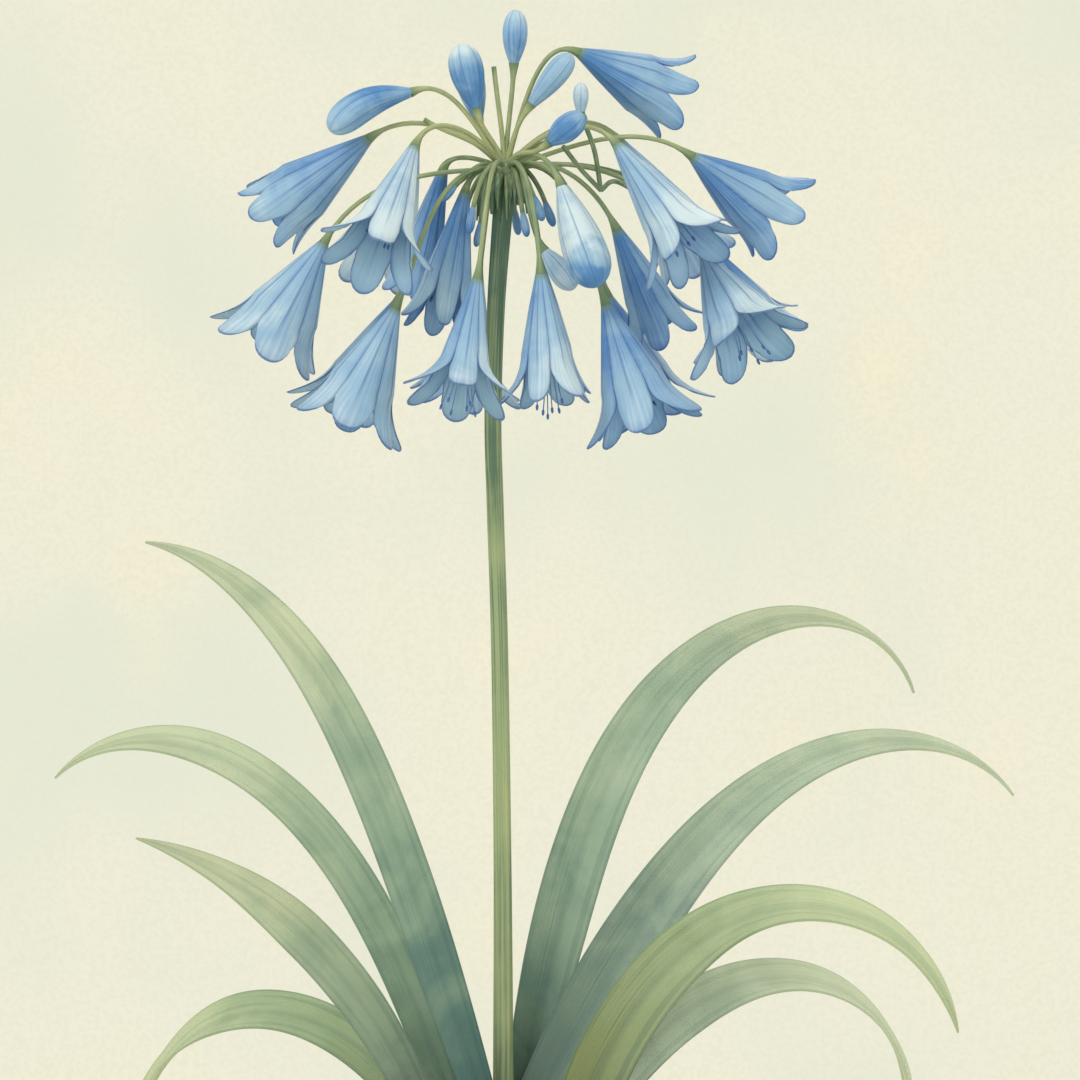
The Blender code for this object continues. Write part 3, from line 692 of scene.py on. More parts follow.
for number, bloom in enumerate(all_blooms, 1):
    finish_bloom(number, bloom)
print("blooms made")

# %% [markdown]
# ## Tubes
#
# Stems, flower stalks and stamens are all tubes that follow a line. A grid is rolled round the line: U goes round
# and V goes along. Its first and last rows shrink to a point, so that welding closes both ends, and the UV map
# still says how far along the stem each place is.

# %% Lines and tubes


def smooth_line(knots, steps):
    """Points on a smooth curve through the given ones."""
    knots = [Vector(point) for point in knots]
    ends = [knots[0] * 2 - knots[1], *knots, knots[-1] * 2 - knots[-2]]
    line = []
    for i in range(len(knots) - 1):
        a, b, c, d = ends[i : i + 4]
        for k in range(steps):
            t = k / steps
            line.append(
                0.5 * (2 * b + (c - a) * t + (2 * a - 5 * b + 4 * c - d) * t * t + (3 * b - a - 3 * c + d) * t**3)
            )
    line.append(knots[-1])
    return line


def frames_along(line):
    """The direction of a line at each point, with two directions across it that don't twist."""
    frames = []
    side = Vector((1.0, 0.0, 0.0))
    for i, point in enumerate(line):
        before, after = line[max(0, i - 1)], line[min(len(line) - 1, i + 1)]
        ahead = (after - before).normalized()
        if i == 0 and abs(ahead.x) > 0.9:
            side = Vector((0.0, 1.0, 0.0))
        side = (side - ahead * side.dot(ahead)).normalized()
        frames.append((point, ahead, side, ahead.cross(side)))
    return frames


def tube(name, line, radii, sides, ridges=0, ridge_height=0.0, flat_ends=False):
    """A closed stem along a line, with a radius at each point, and ridges that run its whole length."""
    frames = frames_along(line)
    rows = len(line) + 1
    piece = sheet(name, sides, rows)

    def rule(across, along):
        row = round(along * rows)
        point, ahead, side, other = frames[min(len(line) - 1, max(0, row - 1))]
        radius = 0.0 if row in (0, rows) else radii[row - 1]
        if not flat_ends and row in (0, rows):
            point = point + ahead * radii[0 if row == 0 else -1] * (0.5 if row else -0.5)
        turn = across * math.tau
        radius *= 1.0 + ridge_height * math.cos(ridges * turn)
        return point + (side * math.cos(turn) + other * math.sin(turn)) * radius

    carry(piece, rule)
    weld(piece, 0.004)
    return piece


# %% [markdown]
# ## Stamens
#
# Six fine filaments hang in each bell, each with a dark blue anther, and bend outwards a little at the end. In three
# of the bells in front they reach its lips or hang past them. They are slim tubes.

# %% Stamen materials


def stamen_material():
    """Filaments that darken from the foot to the anther."""
    made, shader, wire = new_material("filament", 0.5)
    along = wire.uv()[1]
    wash = wire.group(WASH, Scale=120.0)
    shade = wire.plus(along, wire.times(wash.outputs["Clouds"], 0.2))
    colour = wire.mix(wire.ramp(shade, 0.3, 1.1), mixed(160, 190, 222), mixed(88, 130, 192))
    wire.join(colour, shader.inputs["Base Color"])
    add_bump(wire, shader, wash.outputs["Grain"], 0.05)
    return made


def anther_material():
    """Dark blue anthers with a fine dust of pollen."""
    made, shader, wire = new_material("anther", 0.8)
    wash = wire.group(WASH, Scale=500.0)
    colour = wire.mix(wash.outputs["Grain"], mixed(60, 96, 162), mixed(92, 130, 190))
    wire.join(colour, shader.inputs["Base Color"])
    add_bump(wire, shader, wash.outputs["Grain"], 0.12)
    return made


FILAMENT = stamen_material()
ANTHER = anther_material()

# %% Stamens
STAMENS = 6
LONG_STAMENS = (7, 8, 12)  # the blooms whose stamens reach their lips
LONG_REACH = (0.98, 1.1)
SHORT_REACH = (0.72, 0.88)
FILAMENT_RADIUS = 0.36
FILAMENT_TAPER = 0.3
THIN_SIDES = 6
ANTHER_LENGTH = 2.6
ANTHER_RADII = (0.35, 0.6, 0.65, 0.55, 0.3)


def stamen(name, turn, length, spread, bend):
    """One filament with its anther, hanging from the origin."""
    out = Vector((math.cos(turn), math.sin(turn), 0.0))
    knots = (
        out * 0.9 - UP * 1.2,
        out * spread * 0.5 - UP * length * 0.5,
        out * spread * 0.9 - UP * length * 0.85,
        out * (spread + bend) - UP * length,
    )
    line = smooth_line(knots, 5)
    radii = [FILAMENT_RADIUS * (1.0 - FILAMENT_TAPER * i / len(line)) for i in range(len(line))]
    filament = tube(f"{name}_filament", line, radii, THIN_SIDES)
    filament.data.materials.append(FILAMENT)
    ahead = (line[-1] - line[-2]).normalized()
    middle = line[-1] + ahead * 0.3
    body = [middle + ahead * ANTHER_LENGTH * (share - 0.5) for share in (0.0, 0.2, 0.5, 0.8, 1.0)]
    anther = tube(f"{name}_anther", body, ANTHER_RADII, THIN_SIDES)
    anther.data.materials.append(ANTHER)
    return join(name, [filament, anther])


def finish_stamens(number, bloom):
    """Makes the stamens of one bloom."""
    name = f"stamens_{number:02d}"
    luck = random.Random(500 + number)
    reach = bloom.mouth - bloom.neck
    parts = []
    for index in range(STAMENS):
        turn = math.tau * (index + 0.5) / STAMENS + luck.uniform(-0.25, 0.25)
        length = reach.length * luck.uniform(*(LONG_REACH if number in LONG_STAMENS else SHORT_REACH))
        parts.append(stamen(f"{name}_{index}", turn, length, luck.uniform(3.5, 6.0), luck.uniform(0.0, 2.4)))
    whole = join(name, parts)
    axis = reach.normalized()
    place_along(whole, HUB + bloom.neck + axis * GAP, axis, bloom.roll)
    smooth(whole)
    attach(whole, "root")


for number, bloom in enumerate(all_blooms, 1):
    finish_stamens(number, bloom)
print("stamens made")

# %% [markdown]
# ## Buds
#
# A closed bud is a fat spindle with six shallow ridges, where the tepals press on each other. Some are dark at the
# foot and pale at the tip, and some the other way round, so each bud carries two tones, for its foot and its tip.

# %% Bud material


def bud_material():
    """Waxy bud whose tone goes from the foot to the tip, with a soft edge between."""
    made, shader, wire = new_material("bud_skin", 0.6)
    across, along = wire.uv()
    wash = wire.group(WASH, Scale=80.0)
    lines = wire.group(LINES, Count=30.0, Stretch=2.0)
    foot, tip = wire.attribute("tone_foot"), wire.attribute("tone_tip")
    share = wire.ramp(wire.plus(along, wire.sway(wash.outputs["Clouds"], 0.1)), 0.32, 0.8)
    tone = wire.plus(foot, wire.times(wire.minus(tip, foot), share))
    depth = wire.plus(wire.times(tone, 0.42), 0.5)
    mottle = wire.plus(wire.sway(wash.outputs["Clouds"], 0.3), wire.sway(lines.outputs["Lines"], 0.16))
    body = petal_blue(wire, wire.plus(depth, mottle))
    seam = wire.math("ABSOLUTE", wire.math("SINE", wire.times(across, 3.0 * math.tau)))
    drawn = wire.ramp(seam, 0.0, 0.22, 0.5, 0.0)
    wire.join(wire.mix(drawn, body, PETAL_VEIN), shader.inputs["Base Color"])
    let_light_in(shader, 0.1)
    shader.inputs["Specular IOR Level"].default_value = 0.25
    relief = wire.plus(wire.times(drawn, -1.0), wire.times(lines.outputs["Lines"], 0.3))
    add_bump(wire, shader, relief, 0.25, 0.6)
    return made


BUD_SKIN = bud_material()

# %% Buds
BUD_SIDES = 24
BUD_ROWS = 26
BUD_ROUND = 2.4
BUD_FOOT = 0.3  # radius of a thin bud's cup, as a share of the bud's thickness
BUD_IN_CUP = 0.95
BUD_SEAM_DEPTH = 0.03
RECEPTACLE_RADIUS = 2.4


def bud_radius(share, foot_radius, thick, thickest_at):
    """Radius of a bud at a share of its length."""
    if share < thickest_at:
        return foot_radius + (thick / 2 - foot_radius) * math.sin(share / thickest_at * math.pi / 2)
    fall = (share - thickest_at) / (1.0 - thickest_at)
    return thick / 2 * math.sqrt(1.0 - fall**BUD_ROUND)


def cup_radius(thick):
    """Radius of the green cup below a bud of the given thickness."""
    return min(RECEPTACLE_RADIUS, thick * BUD_FOOT)


def bud(name, length, thick, bow, thickest_at):
    """A spindle that stands up from the origin along +Z."""
    line, radii = [], []
    for row in range(BUD_ROWS + 1):
        share = math.sin(row / BUD_ROWS * math.pi / 2)
        line.append(Vector((math.sin(math.pi * share) * bow, 0.0, share * length)))
        radii.append(bud_radius(share, cup_radius(thick) * BUD_IN_CUP, thick, thickest_at))
    return tube(name, line, radii, BUD_SIDES, TEPALS, -BUD_SEAM_DEPTH, flat_ends=True)


def finish_bud(name, values):
    """Makes one bud and sets it on its stalk."""
    reach = values.tip - values.foot
    made = bud(f"{name}_skin", reach.length - GAP, values.thick, values.bow, values.thickest_at)
    made.data.materials.append(BUD_SKIN)
    store(made, "tone_foot", values.tone_foot)
    store(made, "tone_tip", values.tone_tip)
    axis = reach.normalized()
    turn = axis.to_track_quat("Z", "X").to_matrix().to_4x4()
    made.data.transform(Matrix.Translation((HUB + values.foot + axis * GAP) * MM) @ turn)
    smooth(made)
    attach(made, "root")
    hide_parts(name)


for number, values in enumerate(all_buds, 1):
    finish_bud(f"bud_{number:02d}", values)
for number, values in enumerate(young_buds, 1):
    finish_bud(f"young_bud_{number}", values)
print("buds made")

# %% [markdown]
# ## Stem and flower stalks
#
# The stem, or scape, is a tall green tube with fine ridges. At its head it swells into a hub, and a thin stalk, the
# pedicel, runs from there to every bloom and bud. Stalks arch over, since the flowers are heavy, and each one widens
# into a green cup below its flower. Two numbers stored on each part say how dark it is and whether it ends in a cup.
# How dark it is holds the part's own tone together with painted light and shade: the top of the stem and the stalks
# below the hub are painted darker, as shade under the flower head, and the stalks above the hub paler, as painted
# light.

# %% Stalk material


def stalk_material():
    """Green skin, yellowish on the stalks and bluer on the stem, with lengthwise streaks, and from pale to dark by a
    stored number that holds each part's tone with painted light and shade.
    """
    made, shader, wire = new_material("stalk_skin", 0.5)
    along = wire.uv()[1]
    wash = wire.group(WASH, Scale=22.0)
    lines = wire.group(LINES, Count=22.0, Stretch=6.0)
    mottle = wire.plus(wire.sway(wash.outputs["Clouds"], 0.3), wire.sway(lines.outputs["Lines"], 0.4))
    depth = wire.plus(wire.attribute("shade"), mottle)
    # The stored number runs from a pale yellow-green, painted light on the upper stalks, to a dark green, painted
    # shade under the head.
    lighter_end = wire.mix(wire.ramp(depth, 0.0, 0.5), mixed(184, 188, 140), mixed(148, 164, 124))
    body = wire.mix(wire.ramp(depth, 0.5, 1.0), lighter_end, mixed(84, 114, 94))
    foot = wire.mix(wire.ramp(along, 0.84, 0.97, 0.0, 1.0), body, mixed(108, 134, 100))
    wire.join(wire.mix(wire.attribute("cup"), body, foot), shader.inputs["Base Color"])
    add_bump(wire, shader, lines.outputs["Lines"], 0.2, 0.7)
    return made


STALK_SKIN = stalk_material()

# %% Stem and hub
SCAPE_LINE = (
    ((0.0, 0.0, -ROOT_DEPTH), 10.0),
    ((0.0, 0.0, 45.0), 9.0),
    ((-0.3, 0.0, 130.0), 8.0),
    ((-1.6, 0.0, 225.0), 7.6),
    ((-3.6, 0.0, 290.0), 7.6),
    ((-4.6, 0.0, 330.0), 7.6),
    ((-3.2, 0.0, 380.0), 8.0),
    ((0.0, 0.0, 425.0), 9.0),
    ((0.9, 0.0, 440.0), 9.0),
)
HUB_RADIUS = 7.5
HUB_SQUASH = 0.7
HUB_SHADE = 0.7
SCAPE_STEPS = 12
SCAPE_SIDES = 32
SCAPE_RIDGES = 9
SCAPE_RIDGE_HEIGHT = 0.035
SCAPE_SHADE = 0.55
# Painted shade: the top of the scape, under the flower head, is painted darker from this height up.
SCAPE_PAINTED_SHADE = 0.4  # how much darker the scape is at its head
SCAPE_PAINTED_SHADE_FROM = 380.0

stalk_parts = []
scape_line = smooth_line([SCAPE_FOOT + Vector(place) for place, _ in SCAPE_LINE], SCAPE_STEPS)
scape_radii = [point.x for point in smooth_line([(width / 2, 0.0, 0.0) for _, width in SCAPE_LINE], SCAPE_STEPS)]
scape = tube("scape", scape_line, scape_radii, SCAPE_SIDES, SCAPE_RIDGES, SCAPE_RIDGE_HEIGHT)
store(scape, "shade", SCAPE_SHADE)
# Painted shade: the scape darkens towards the hub, under the flower head.
for vert, item in zip(scape.data.vertices, scape.data.attributes["shade"].data):
    item.value += SCAPE_PAINTED_SHADE * max(0.0, vert.co.z / MM - SCAPE_PAINTED_SHADE_FROM) / (HUB.z - SCAPE_PAINTED_SHADE_FROM)
store(scape, "cup", 0.0)
stalk_parts.append(scape)

bpy.ops.mesh.primitive_uv_sphere_add(segments=32, ring_count=20, radius=HUB_RADIUS * MM)
hub = bpy.context.object
in_edit_mode(hub, lambda: bpy.ops.transform.resize(value=(1.0, 1.0, HUB_SQUASH)))
hub.data.transform(Matrix.Translation(HUB * MM))
store(hub, "shade", HUB_SHADE)
store(hub, "cup", 0.0)
stalk_parts.append(hub)
print("scape of", len(scape_line), "points")

# %% Flower stalks
PEDICEL_RADIUS = 1.1
PEDICEL_STEPS = 18
PEDICEL_ROOT = 3.0  # how far from the hub's middle a stalk starts
PEDICEL_RISE = 0.5
PEDICEL_LIFT = 0.45  # how far it keeps its first direction, and then its last, as shares of its reach
PEDICEL_DROP = 0.35
CUP_LENGTH = 7.8
CUP_GAP = 0.05  # what is left open between a cup and its flower
ROOT_SWELL = 0.35
ROOT_SWELL_REACH = 5.0
STALK_SIDES = 10
# Stalks above the hub take paler tones, as painted light, and stalks below it darker ones, as painted shade.
UPPER_TONES_PAINTED_LIGHT = (0.15, 0.5)
LOWER_TONES_PAINTED_SHADE = (0.45, 0.8)
BARE_PEDICELS = ((-5, -4, 46), (-36, -8, 22))


def hanging_route(foot, axis, rise):
    """A stalk's middle line from the hub to the foot of a bloom, which hangs along the given axis."""
    distance = foot.length
    ahead = Vector((foot.x, foot.y, max(0.0, foot.z))).normalized()
    start = (ahead + UP * rise).normalized()
    a = start * PEDICEL_ROOT
    b = start * distance * PEDICEL_LIFT
    c = foot - axis * distance * PEDICEL_DROP
    line = []
    for k in range(PEDICEL_STEPS):
        t = k / PEDICEL_STEPS
        line.append((1 - t) ** 3 * a + 3 * t * (1 - t) ** 2 * b + 3 * t * t * (1 - t) * c + t**3 * foot)
    line.append(foot + axis * (GAP - CUP_GAP))
    return line


def pedicel(name, foot, axis, end_radius, rise, shade):
    """A flower stalk that widens into the cup below its flower."""
    line = hanging_route(foot, axis, rise)
    lengths = [0.0]
    for first, second in zip(line, line[1:]):
        lengths.append(lengths[-1] + (second - first).length)
    radii = []
    for at in lengths:
        left = lengths[-1] - at
        swell = max(0.0, 1.0 - left / CUP_LENGTH) ** 1.2
        root = ROOT_SWELL * math.exp(-at / ROOT_SWELL_REACH)
        radii.append(PEDICEL_RADIUS * (1.0 + root) + (end_radius - PEDICEL_RADIUS) * swell)
    made = tube(name, [HUB + point for point in line], radii, STALK_SIDES, flat_ends=True)
    store(made, "shade", shade)
    store(made, "cup", 1.0)
    return made


luck = random.Random(7)
feet = []
for values in all_blooms:
    feet.append((values.neck, (values.mouth - values.neck).normalized(), RECEPTACLE_RADIUS, values.rise))
for values in all_buds:
    feet.append((values.foot, (values.tip - values.foot).normalized(), cup_radius(values.thick), PEDICEL_RISE))
for values in young_buds:
    feet.append((values.foot, (values.tip - values.foot).normalized(), PEDICEL_RADIUS, PEDICEL_RISE))
for foot in BARE_PEDICELS:
    feet.append((Vector(foot), Vector(foot).normalized(), PEDICEL_RADIUS, PEDICEL_RISE))
for number, (foot, axis, radius, rise) in enumerate(feet):
    # Painted light and shade: stalks above the hub are paler, those below it darker, under the flower head.
    shade = luck.uniform(*(UPPER_TONES_PAINTED_LIGHT if foot.z > 0.0 else LOWER_TONES_PAINTED_SHADE))
    stalk_parts.append(pedicel(f"pedicel_{number}", foot, axis, radius, rise, shade))
print(len(feet), "flower stalks")

# %% [markdown]
# Below the crown hangs a dark tuft: nine broad papery bracts, and a few dozen fine ones with seeded turns and
# lengths. At the right, three bare side stalks cross behind the blooms.

# %% Side stalks and bracts
SIDE_STALKS = (
    ((26, -24, 9), (34, -20, -1), (43, -13, -10)),
    ((34, -14, 24), (40, -14, 8), (43, -13, -10)),
    ((43, -13, -10), (49, -14, -6), (60, -12, -11)),
)
# Where each bract points round the stem, how far out it reaches and how far it drops
BRACTS = (
    (195, 11, 14),
    (222, 8, 20),
    (248, 9, 15),
    (285, 8, 22),
    (312, 9, 16),
    (338, 11, 12),
    (20, 10, 15),
    (70, 9, 20),
    (120, 9, 16),
)
BRACT_RADIUS = 1.7
BRACT_SHADE = 0.75
BRACT_POINTS = 17
FINE_BRACTS = 34
FINE_BRACT_RADIUS = 0.9
FINE_BRACT_REACH = (5.0, 13.0)
FINE_BRACT_DROP = (9.0, 25.0)
FINE_BRACT_SHADES = (0.4, 0.85)
FINE_BRACT_POINTS = 9
SIDE_STALK_SHADE = 0.75


def bract(name, turn, reach, drop, radii, sides, shade):
    """A papery strip that hangs from the hub at a turn about it, with a radius at each of its points."""
    out = Vector((math.cos(turn), math.sin(turn), 0.0))
    knots = [HUB + out * 3.0, HUB + out * reach * 0.85 - UP * drop * 0.3, HUB + out * reach - UP * drop]
    made = tube(name, smooth_line(knots, (len(radii) - 1) // 2), radii, sides)
    store(made, "shade", shade)
    store(made, "cup", 0.0)
    return made


for number, places in enumerate(SIDE_STALKS):
    line = smooth_line([HUB + Vector(place) for place in places], 8)
    made = tube(f"side_stalk_{number}", line, [PEDICEL_RADIUS] * len(line), STALK_SIDES)
    store(made, "shade", SIDE_STALK_SHADE)
    store(made, "cup", 0.0)
    stalk_parts.append(made)
broad, slim = [], []
for i in range(BRACT_POINTS):
    share = i / BRACT_POINTS
    broad.append(BRACT_RADIUS * (0.8 + 0.4 * math.sin(math.pi * share) - 0.5 * share**2))
for i in range(FINE_BRACT_POINTS):
    slim.append(FINE_BRACT_RADIUS * math.sin(math.pi * (0.15 + 0.8 * i / FINE_BRACT_POINTS)))
for number, (turn, reach, drop) in enumerate(BRACTS):
    turn = math.radians(turn)
    stalk_parts.append(bract(f"bract_{number}", turn, reach, drop, broad, STALK_SIDES, BRACT_SHADE))
for number in range(FINE_BRACTS):
    turn, reach, drop = luck.uniform(0.0, math.tau), luck.uniform(*FINE_BRACT_REACH), luck.uniform(*FINE_BRACT_DROP)
    shade = luck.uniform(*FINE_BRACT_SHADES)
    stalk_parts.append(bract(f"fine_bract_{number}", turn, reach, drop, slim, THIN_SIDES, shade))

stalk = join("stalk_skin", stalk_parts)
stalk.data.materials.append(STALK_SKIN)
smooth(stalk)
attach(stalk, "root")
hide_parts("stalk")
print("stalk of", len(stalk.data.polygons), "faces")

# %% [markdown]
# ## Leaves
#
# A strap leaf is a long blade with a shallow channel. It stands up from the pot, arches over, and turns its upper
# face to the sky on the way. Fine parallel veins run from foot to tip, with a deeper one down the middle, and the
# middle of the channel is painted darker, as painted shade. At the foot the leaves are a deep blue-green and towards
# the tip a warmer sage. Three numbers stored on each leaf, warm, pale and deep, say how yellow and how pale it is,
# and how far its dark foot reaches.

# %% Leaf material


def leaf_material():
    """Matt strap leaf with parallel veins and painted shade down its channel, from its UV map."""
    made, shader, wire = new_material("leaf_blade", 0.5)
    across, along = wire.uv()
    warm, pale = wire.attribute("warm"), wire.attribute("pale")
    wash = wire.group(WASH, Scale=26.0)
    veins = wire.group(LINES, Count=60.0, Stretch=5.0)
    broad = wire.group(LINES, Count=6.0, Stretch=1.6)
    rise = wire.plus(along, wire.sway(wash.outputs["Clouds"], 0.24))
    rise = wire.minus(rise, wire.times(wire.attribute("deep"), 0.2))
    foot = wire.mix(wire.ramp(rise, 0.05, 0.5), mixed(78, 118, 118), mixed(146, 171, 152))
    body = wire.mix(wire.ramp(rise, 0.4, 0.9), foot, mixed(206, 214, 188))
    yellow = wire.mix(wire.ramp(rise, 0.05, 0.7), mixed(172, 186, 124), mixed(182, 194, 146))
    body = wire.mix(wire.times(warm, wire.ramp(rise, -0.1, 0.5, 1.0, 0.6)), body, yellow)
    body = wire.mix(wire.times(pale, wire.ramp(rise, 0.0, 0.8, 0.3, 1.0)), body, mixed(208, 218, 196))
    middle = wire.math("ABSOLUTE", wire.minus(across, 0.5))
    # Painted shade: the middle of the blade is drawn darker along the leaf's channel.
    channel = wire.ramp(middle, 0.0, 0.16, 0.32, 0.0)
    edge = wire.ramp(middle, 0.44, 0.495, 0.0, 0.5)
    streaks = wire.times(wire.ramp(broad.outputs["Lines"], 0.45, 1.0), 0.32)
    fine = wire.times(veins.outputs["Lines"], 0.1)
    drawn = wire.larger(wire.larger(channel, edge), wire.plus(streaks, fine))
    drawn = wire.times(drawn, wire.minus(1.0, wire.times(pale, 0.5)))
    dark = wire.mix(wire.ramp(rise, 0.1, 0.9), mixed(58, 100, 100), mixed(138, 164, 134))
    wire.join(wire.mix(drawn, body, dark), shader.inputs["Base Color"])
    relief = wire.minus(wire.times(veins.outputs["Lines"], 0.7), channel)
    add_bump(wire, shader, relief, 0.25, 0.6)
    return made


LEAF_BLADE = leaf_material()

# %% Leaves
# Foot beside the scape, side, swing to the back, length, lean at the foot and the tip, how late it bends, width at
# the foot and at the widest, where it is widest, how late it tapers, how yellow, how pale, how dark at the foot
Leaf = namedtuple(
    "Leaf", "foot side swing length lean_foot lean_tip late foot_width widest widest_at taper warm pale deep"
)
LEAVES = {
    "leaf_left_1": ((1.5, -8.5), -1, -14.0, 343.0, 18.0, 80.0, 4.1, 10.0, 21.0, 0.43, 3.3, 0.0, 0.0, 0.2),
    "leaf_left_2": ((-13.0, 3.0), -1, 24.0, 326.0, 20.0, 130.0, 2.4, 11.5, 19.0, 0.42, 5.0, 0.25, 0.0, 0.0),
    "leaf_left_3": ((-26.0, -6.0), -1, -37.0, 237.0, 19.5, 74.0, 1.05, 10.5, 21.0, 0.59, 1.5, 0.1, 0.1, 0.0),
    "leaf_left_4": ((-24.0, 9.0), -1, 33.0, 246.0, 30.0, 178.0, 1.35, 14.0, 22.0, 0.58, 2.4, 0.7, 0.0, 0.1),
    "leaf_right_1": ((1.5, 17.0), 1, 18.0, 379.0, 12.0, 160.0, 3.2, 10.0, 26.0, 0.36, 2.0, 0.05, 0.1, 0.2),
    "leaf_right_2": ((-1.0, 10.0), 1, 8.0, 341.0, 28.5, 143.0, 3.1, 14.0, 30.0, 0.31, 1.5, 0.0, 0.6, 1.1),
    "leaf_right_3": ((24.5, -7.0), 1, -31.0, 287.0, 21.0, 164.0, 1.8, 15.0, 27.0, 0.22, 2.5, 0.85, 0.0, -0.1),
    "leaf_right_4": ((24.5, 6.0), 1, 31.5, 277.0, 35.0, 192.0, 1.75, 12.0, 23.0, 0.37, 1.3, 0.2, 0.8, 0.3),
}
LEAF_COLUMNS = 12
LEAF_ROWS = 72
LEAF_THICK = 1.1
LEAF_TIP_WIDTH = 0.5
LEAF_FOLD = 0.192
LEAF_FOLD_ROUND = 0.25  # how round the bottom of the channel is
LEAF_TURN_UP = 0.6
LEAF_TURN_MOST = 65.0
LEAF_WAVE = 0.5
LEAF_WAVES = 19.0


def leaf_width(leaf, share):
    """Width of a leaf at a share of its length."""
    if share < leaf.widest_at:
        rise = math.sin(share / leaf.widest_at * math.pi / 2)
        return leaf.foot_width + (leaf.widest - leaf.foot_width) * rise
    fall = (share - leaf.widest_at) / (1.0 - leaf.widest_at)
    return LEAF_TIP_WIDTH + (leaf.widest - LEAF_TIP_WIDTH) * (1.0 - fall**leaf.taper)


def leaf_lean(leaf, share):
    """How far a leaf leans over at a share of its length, in radians."""
    return math.radians(leaf.lean_foot + (leaf.lean_tip - leaf.lean_foot) * share**leaf.late)


def leaf_frame(leaf):
    """Middle line of a leaf with its direction and its upper face's direction at each row."""
    place = SCAPE_FOOT + Vector((*leaf.foot, -ROOT_DEPTH))
    swing = math.radians(leaf.swing)
    flat = Vector((leaf.side * math.cos(swing), math.sin(swing), 0.0))
    rows = []
    for row in range(LEAF_ROWS + 1):
        lean = leaf_lean(leaf, row / LEAF_ROWS)
        along = flat * math.sin(lean) + UP * math.cos(lean)
        up = min(math.radians(LEAF_TURN_MOST), LEAF_TURN_UP * (lean - math.radians(leaf.lean_foot)))
        face = Vector((0.0, -math.cos(up), math.sin(up)))
        face = (face - along * face.dot(along)).normalized()
        rows.append((place.copy(), along, face))
        lean = leaf_lean(leaf, (row + 0.5) / LEAF_ROWS)
        place = place + (flat * math.sin(lean) + UP * math.cos(lean)) * (leaf.length / LEAF_ROWS)
    return rows


def finish_leaf(name, leaf):
    """Bends a grid into one leaf and gives it its thickness."""
    rows = leaf_frame(leaf)
    blade = sheet(f"{name}_blade", LEAF_COLUMNS, LEAF_ROWS)
    phase = sum(map(ord, name))

    def rule(across, along):
        share = across * 2.0 - 1.0
        place, ahead, face = rows[round(along * LEAF_ROWS)]
        width = leaf_width(leaf, along)
        sideways = ahead.cross(face)
        wave = LEAF_WAVE * share * math.sin(along * LEAF_WAVES + phase) * min(1.0, along * 3.0) * width / leaf.widest
        channel = math.hypot(share, LEAF_FOLD_ROUND) - LEAF_FOLD_ROUND
        return place + sideways * share * width / 2 + face * (channel * width * LEAF_FOLD + wave)

    carry(blade, rule)
    wall = blade.modifiers.new("thickness", "SOLIDIFY")
    wall.thickness = LEAF_THICK * MM
    wall.offset = 0.0
    apply_all(blade)
    blade.data.materials.append(LEAF_BLADE)
    for label in ("warm", "pale", "deep"):
        store(blade, label, getattr(leaf, label))
    smooth(blade)
    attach(blade, "root")
    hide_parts(name)


for name, values in LEAVES.items():
    finish_leaf(name, Leaf(*values))
print(len(LEAVES), "leaves made")

# %% [markdown]
# ## Pot
#
# The pot is thrown clay: a tapered wall, a thick band at the rim and a hole in the floor. Its profile is turned on a
# grid in the same way as the stems, and the wheel leaves faint rings in it. Fired clay is matt and mottled, with a
# pale bloom of lime near the foot.

# %% Clay material
POT_HEIGHT = 170.0


def clay_material():
    """Matt fired clay with lime bloom and fine pores."""
    made, shader, wire = new_material("fired_clay", 0.85)
    place = wire.node("ShaderNodeTexCoord")
    parts = wire.node("ShaderNodeSeparateXYZ")
    wire.join(place.outputs["Object"], parts.inputs[0])
    height = wire.times(parts.outputs["Z"], 1.0 / (POT_HEIGHT * MM))
    wash = wire.group(WASH, Scale=24.0)
    spots = wire.group(WASH, Scale=55.0, Seed=3.0)
    body = wire.mix(wash.outputs["Clouds"], mixed(176, 106, 76), mixed(204, 136, 100))
    patches = wire.plus(spots.outputs["Clouds"], 0.2)
    lime = wire.times(wire.ramp(height, 0.0, 0.75, 0.5, 0.05), patches)
    body = wire.mix(lime, body, mixed(222, 190, 164))
    rings = wire.node("ShaderNodeTexWave", bands_direction="Z")
    rings.inputs["Scale"].default_value = 95.0
    rings.inputs["Distortion"].default_value = 1.5
    wire.join(place.outputs["Object"], rings.inputs["Vector"])
    body = wire.mix(wire.times(rings.outputs["Fac"], 0.14), body, mixed(150, 86, 62))
    body = wire.mix(wire.times(wash.outputs["Grain"], 0.18), body, mixed(228, 170, 136))
    wire.join(body, shader.inputs["Base Color"])
    relief = wire.plus(wire.times(rings.outputs["Fac"], 0.5), wash.outputs["Grain"])
    add_bump(wire, shader, relief, 0.35, 0.6)
    return made


CLAY = clay_material()

# %% Pot
POT_FOOT_RADIUS = 68.0
POT_SHOULDER_RADIUS = 88.0
POT_BAND_HEIGHT = 32.0
POT_BAND_PROUD = 4.0
POT_BAND_FLARE = 2.5
POT_WALL = 8.0
POT_FLOOR = 10.0
POT_EDGE = 1.5
DRAIN_RADIUS = 8.0
POT_SIDES = 144
POT_STEP = 2.5


def pot_outer_radius(height):
    """Outer radius of the pot's wall below its band."""
    share = height / (POT_HEIGHT - POT_BAND_HEIGHT)
    return POT_FOOT_RADIUS + (POT_SHOULDER_RADIUS - POT_FOOT_RADIUS) * share


def pot_inner_radius(height):
    """Inner radius of the pot's wall."""
    return pot_outer_radius(height) - POT_WALL


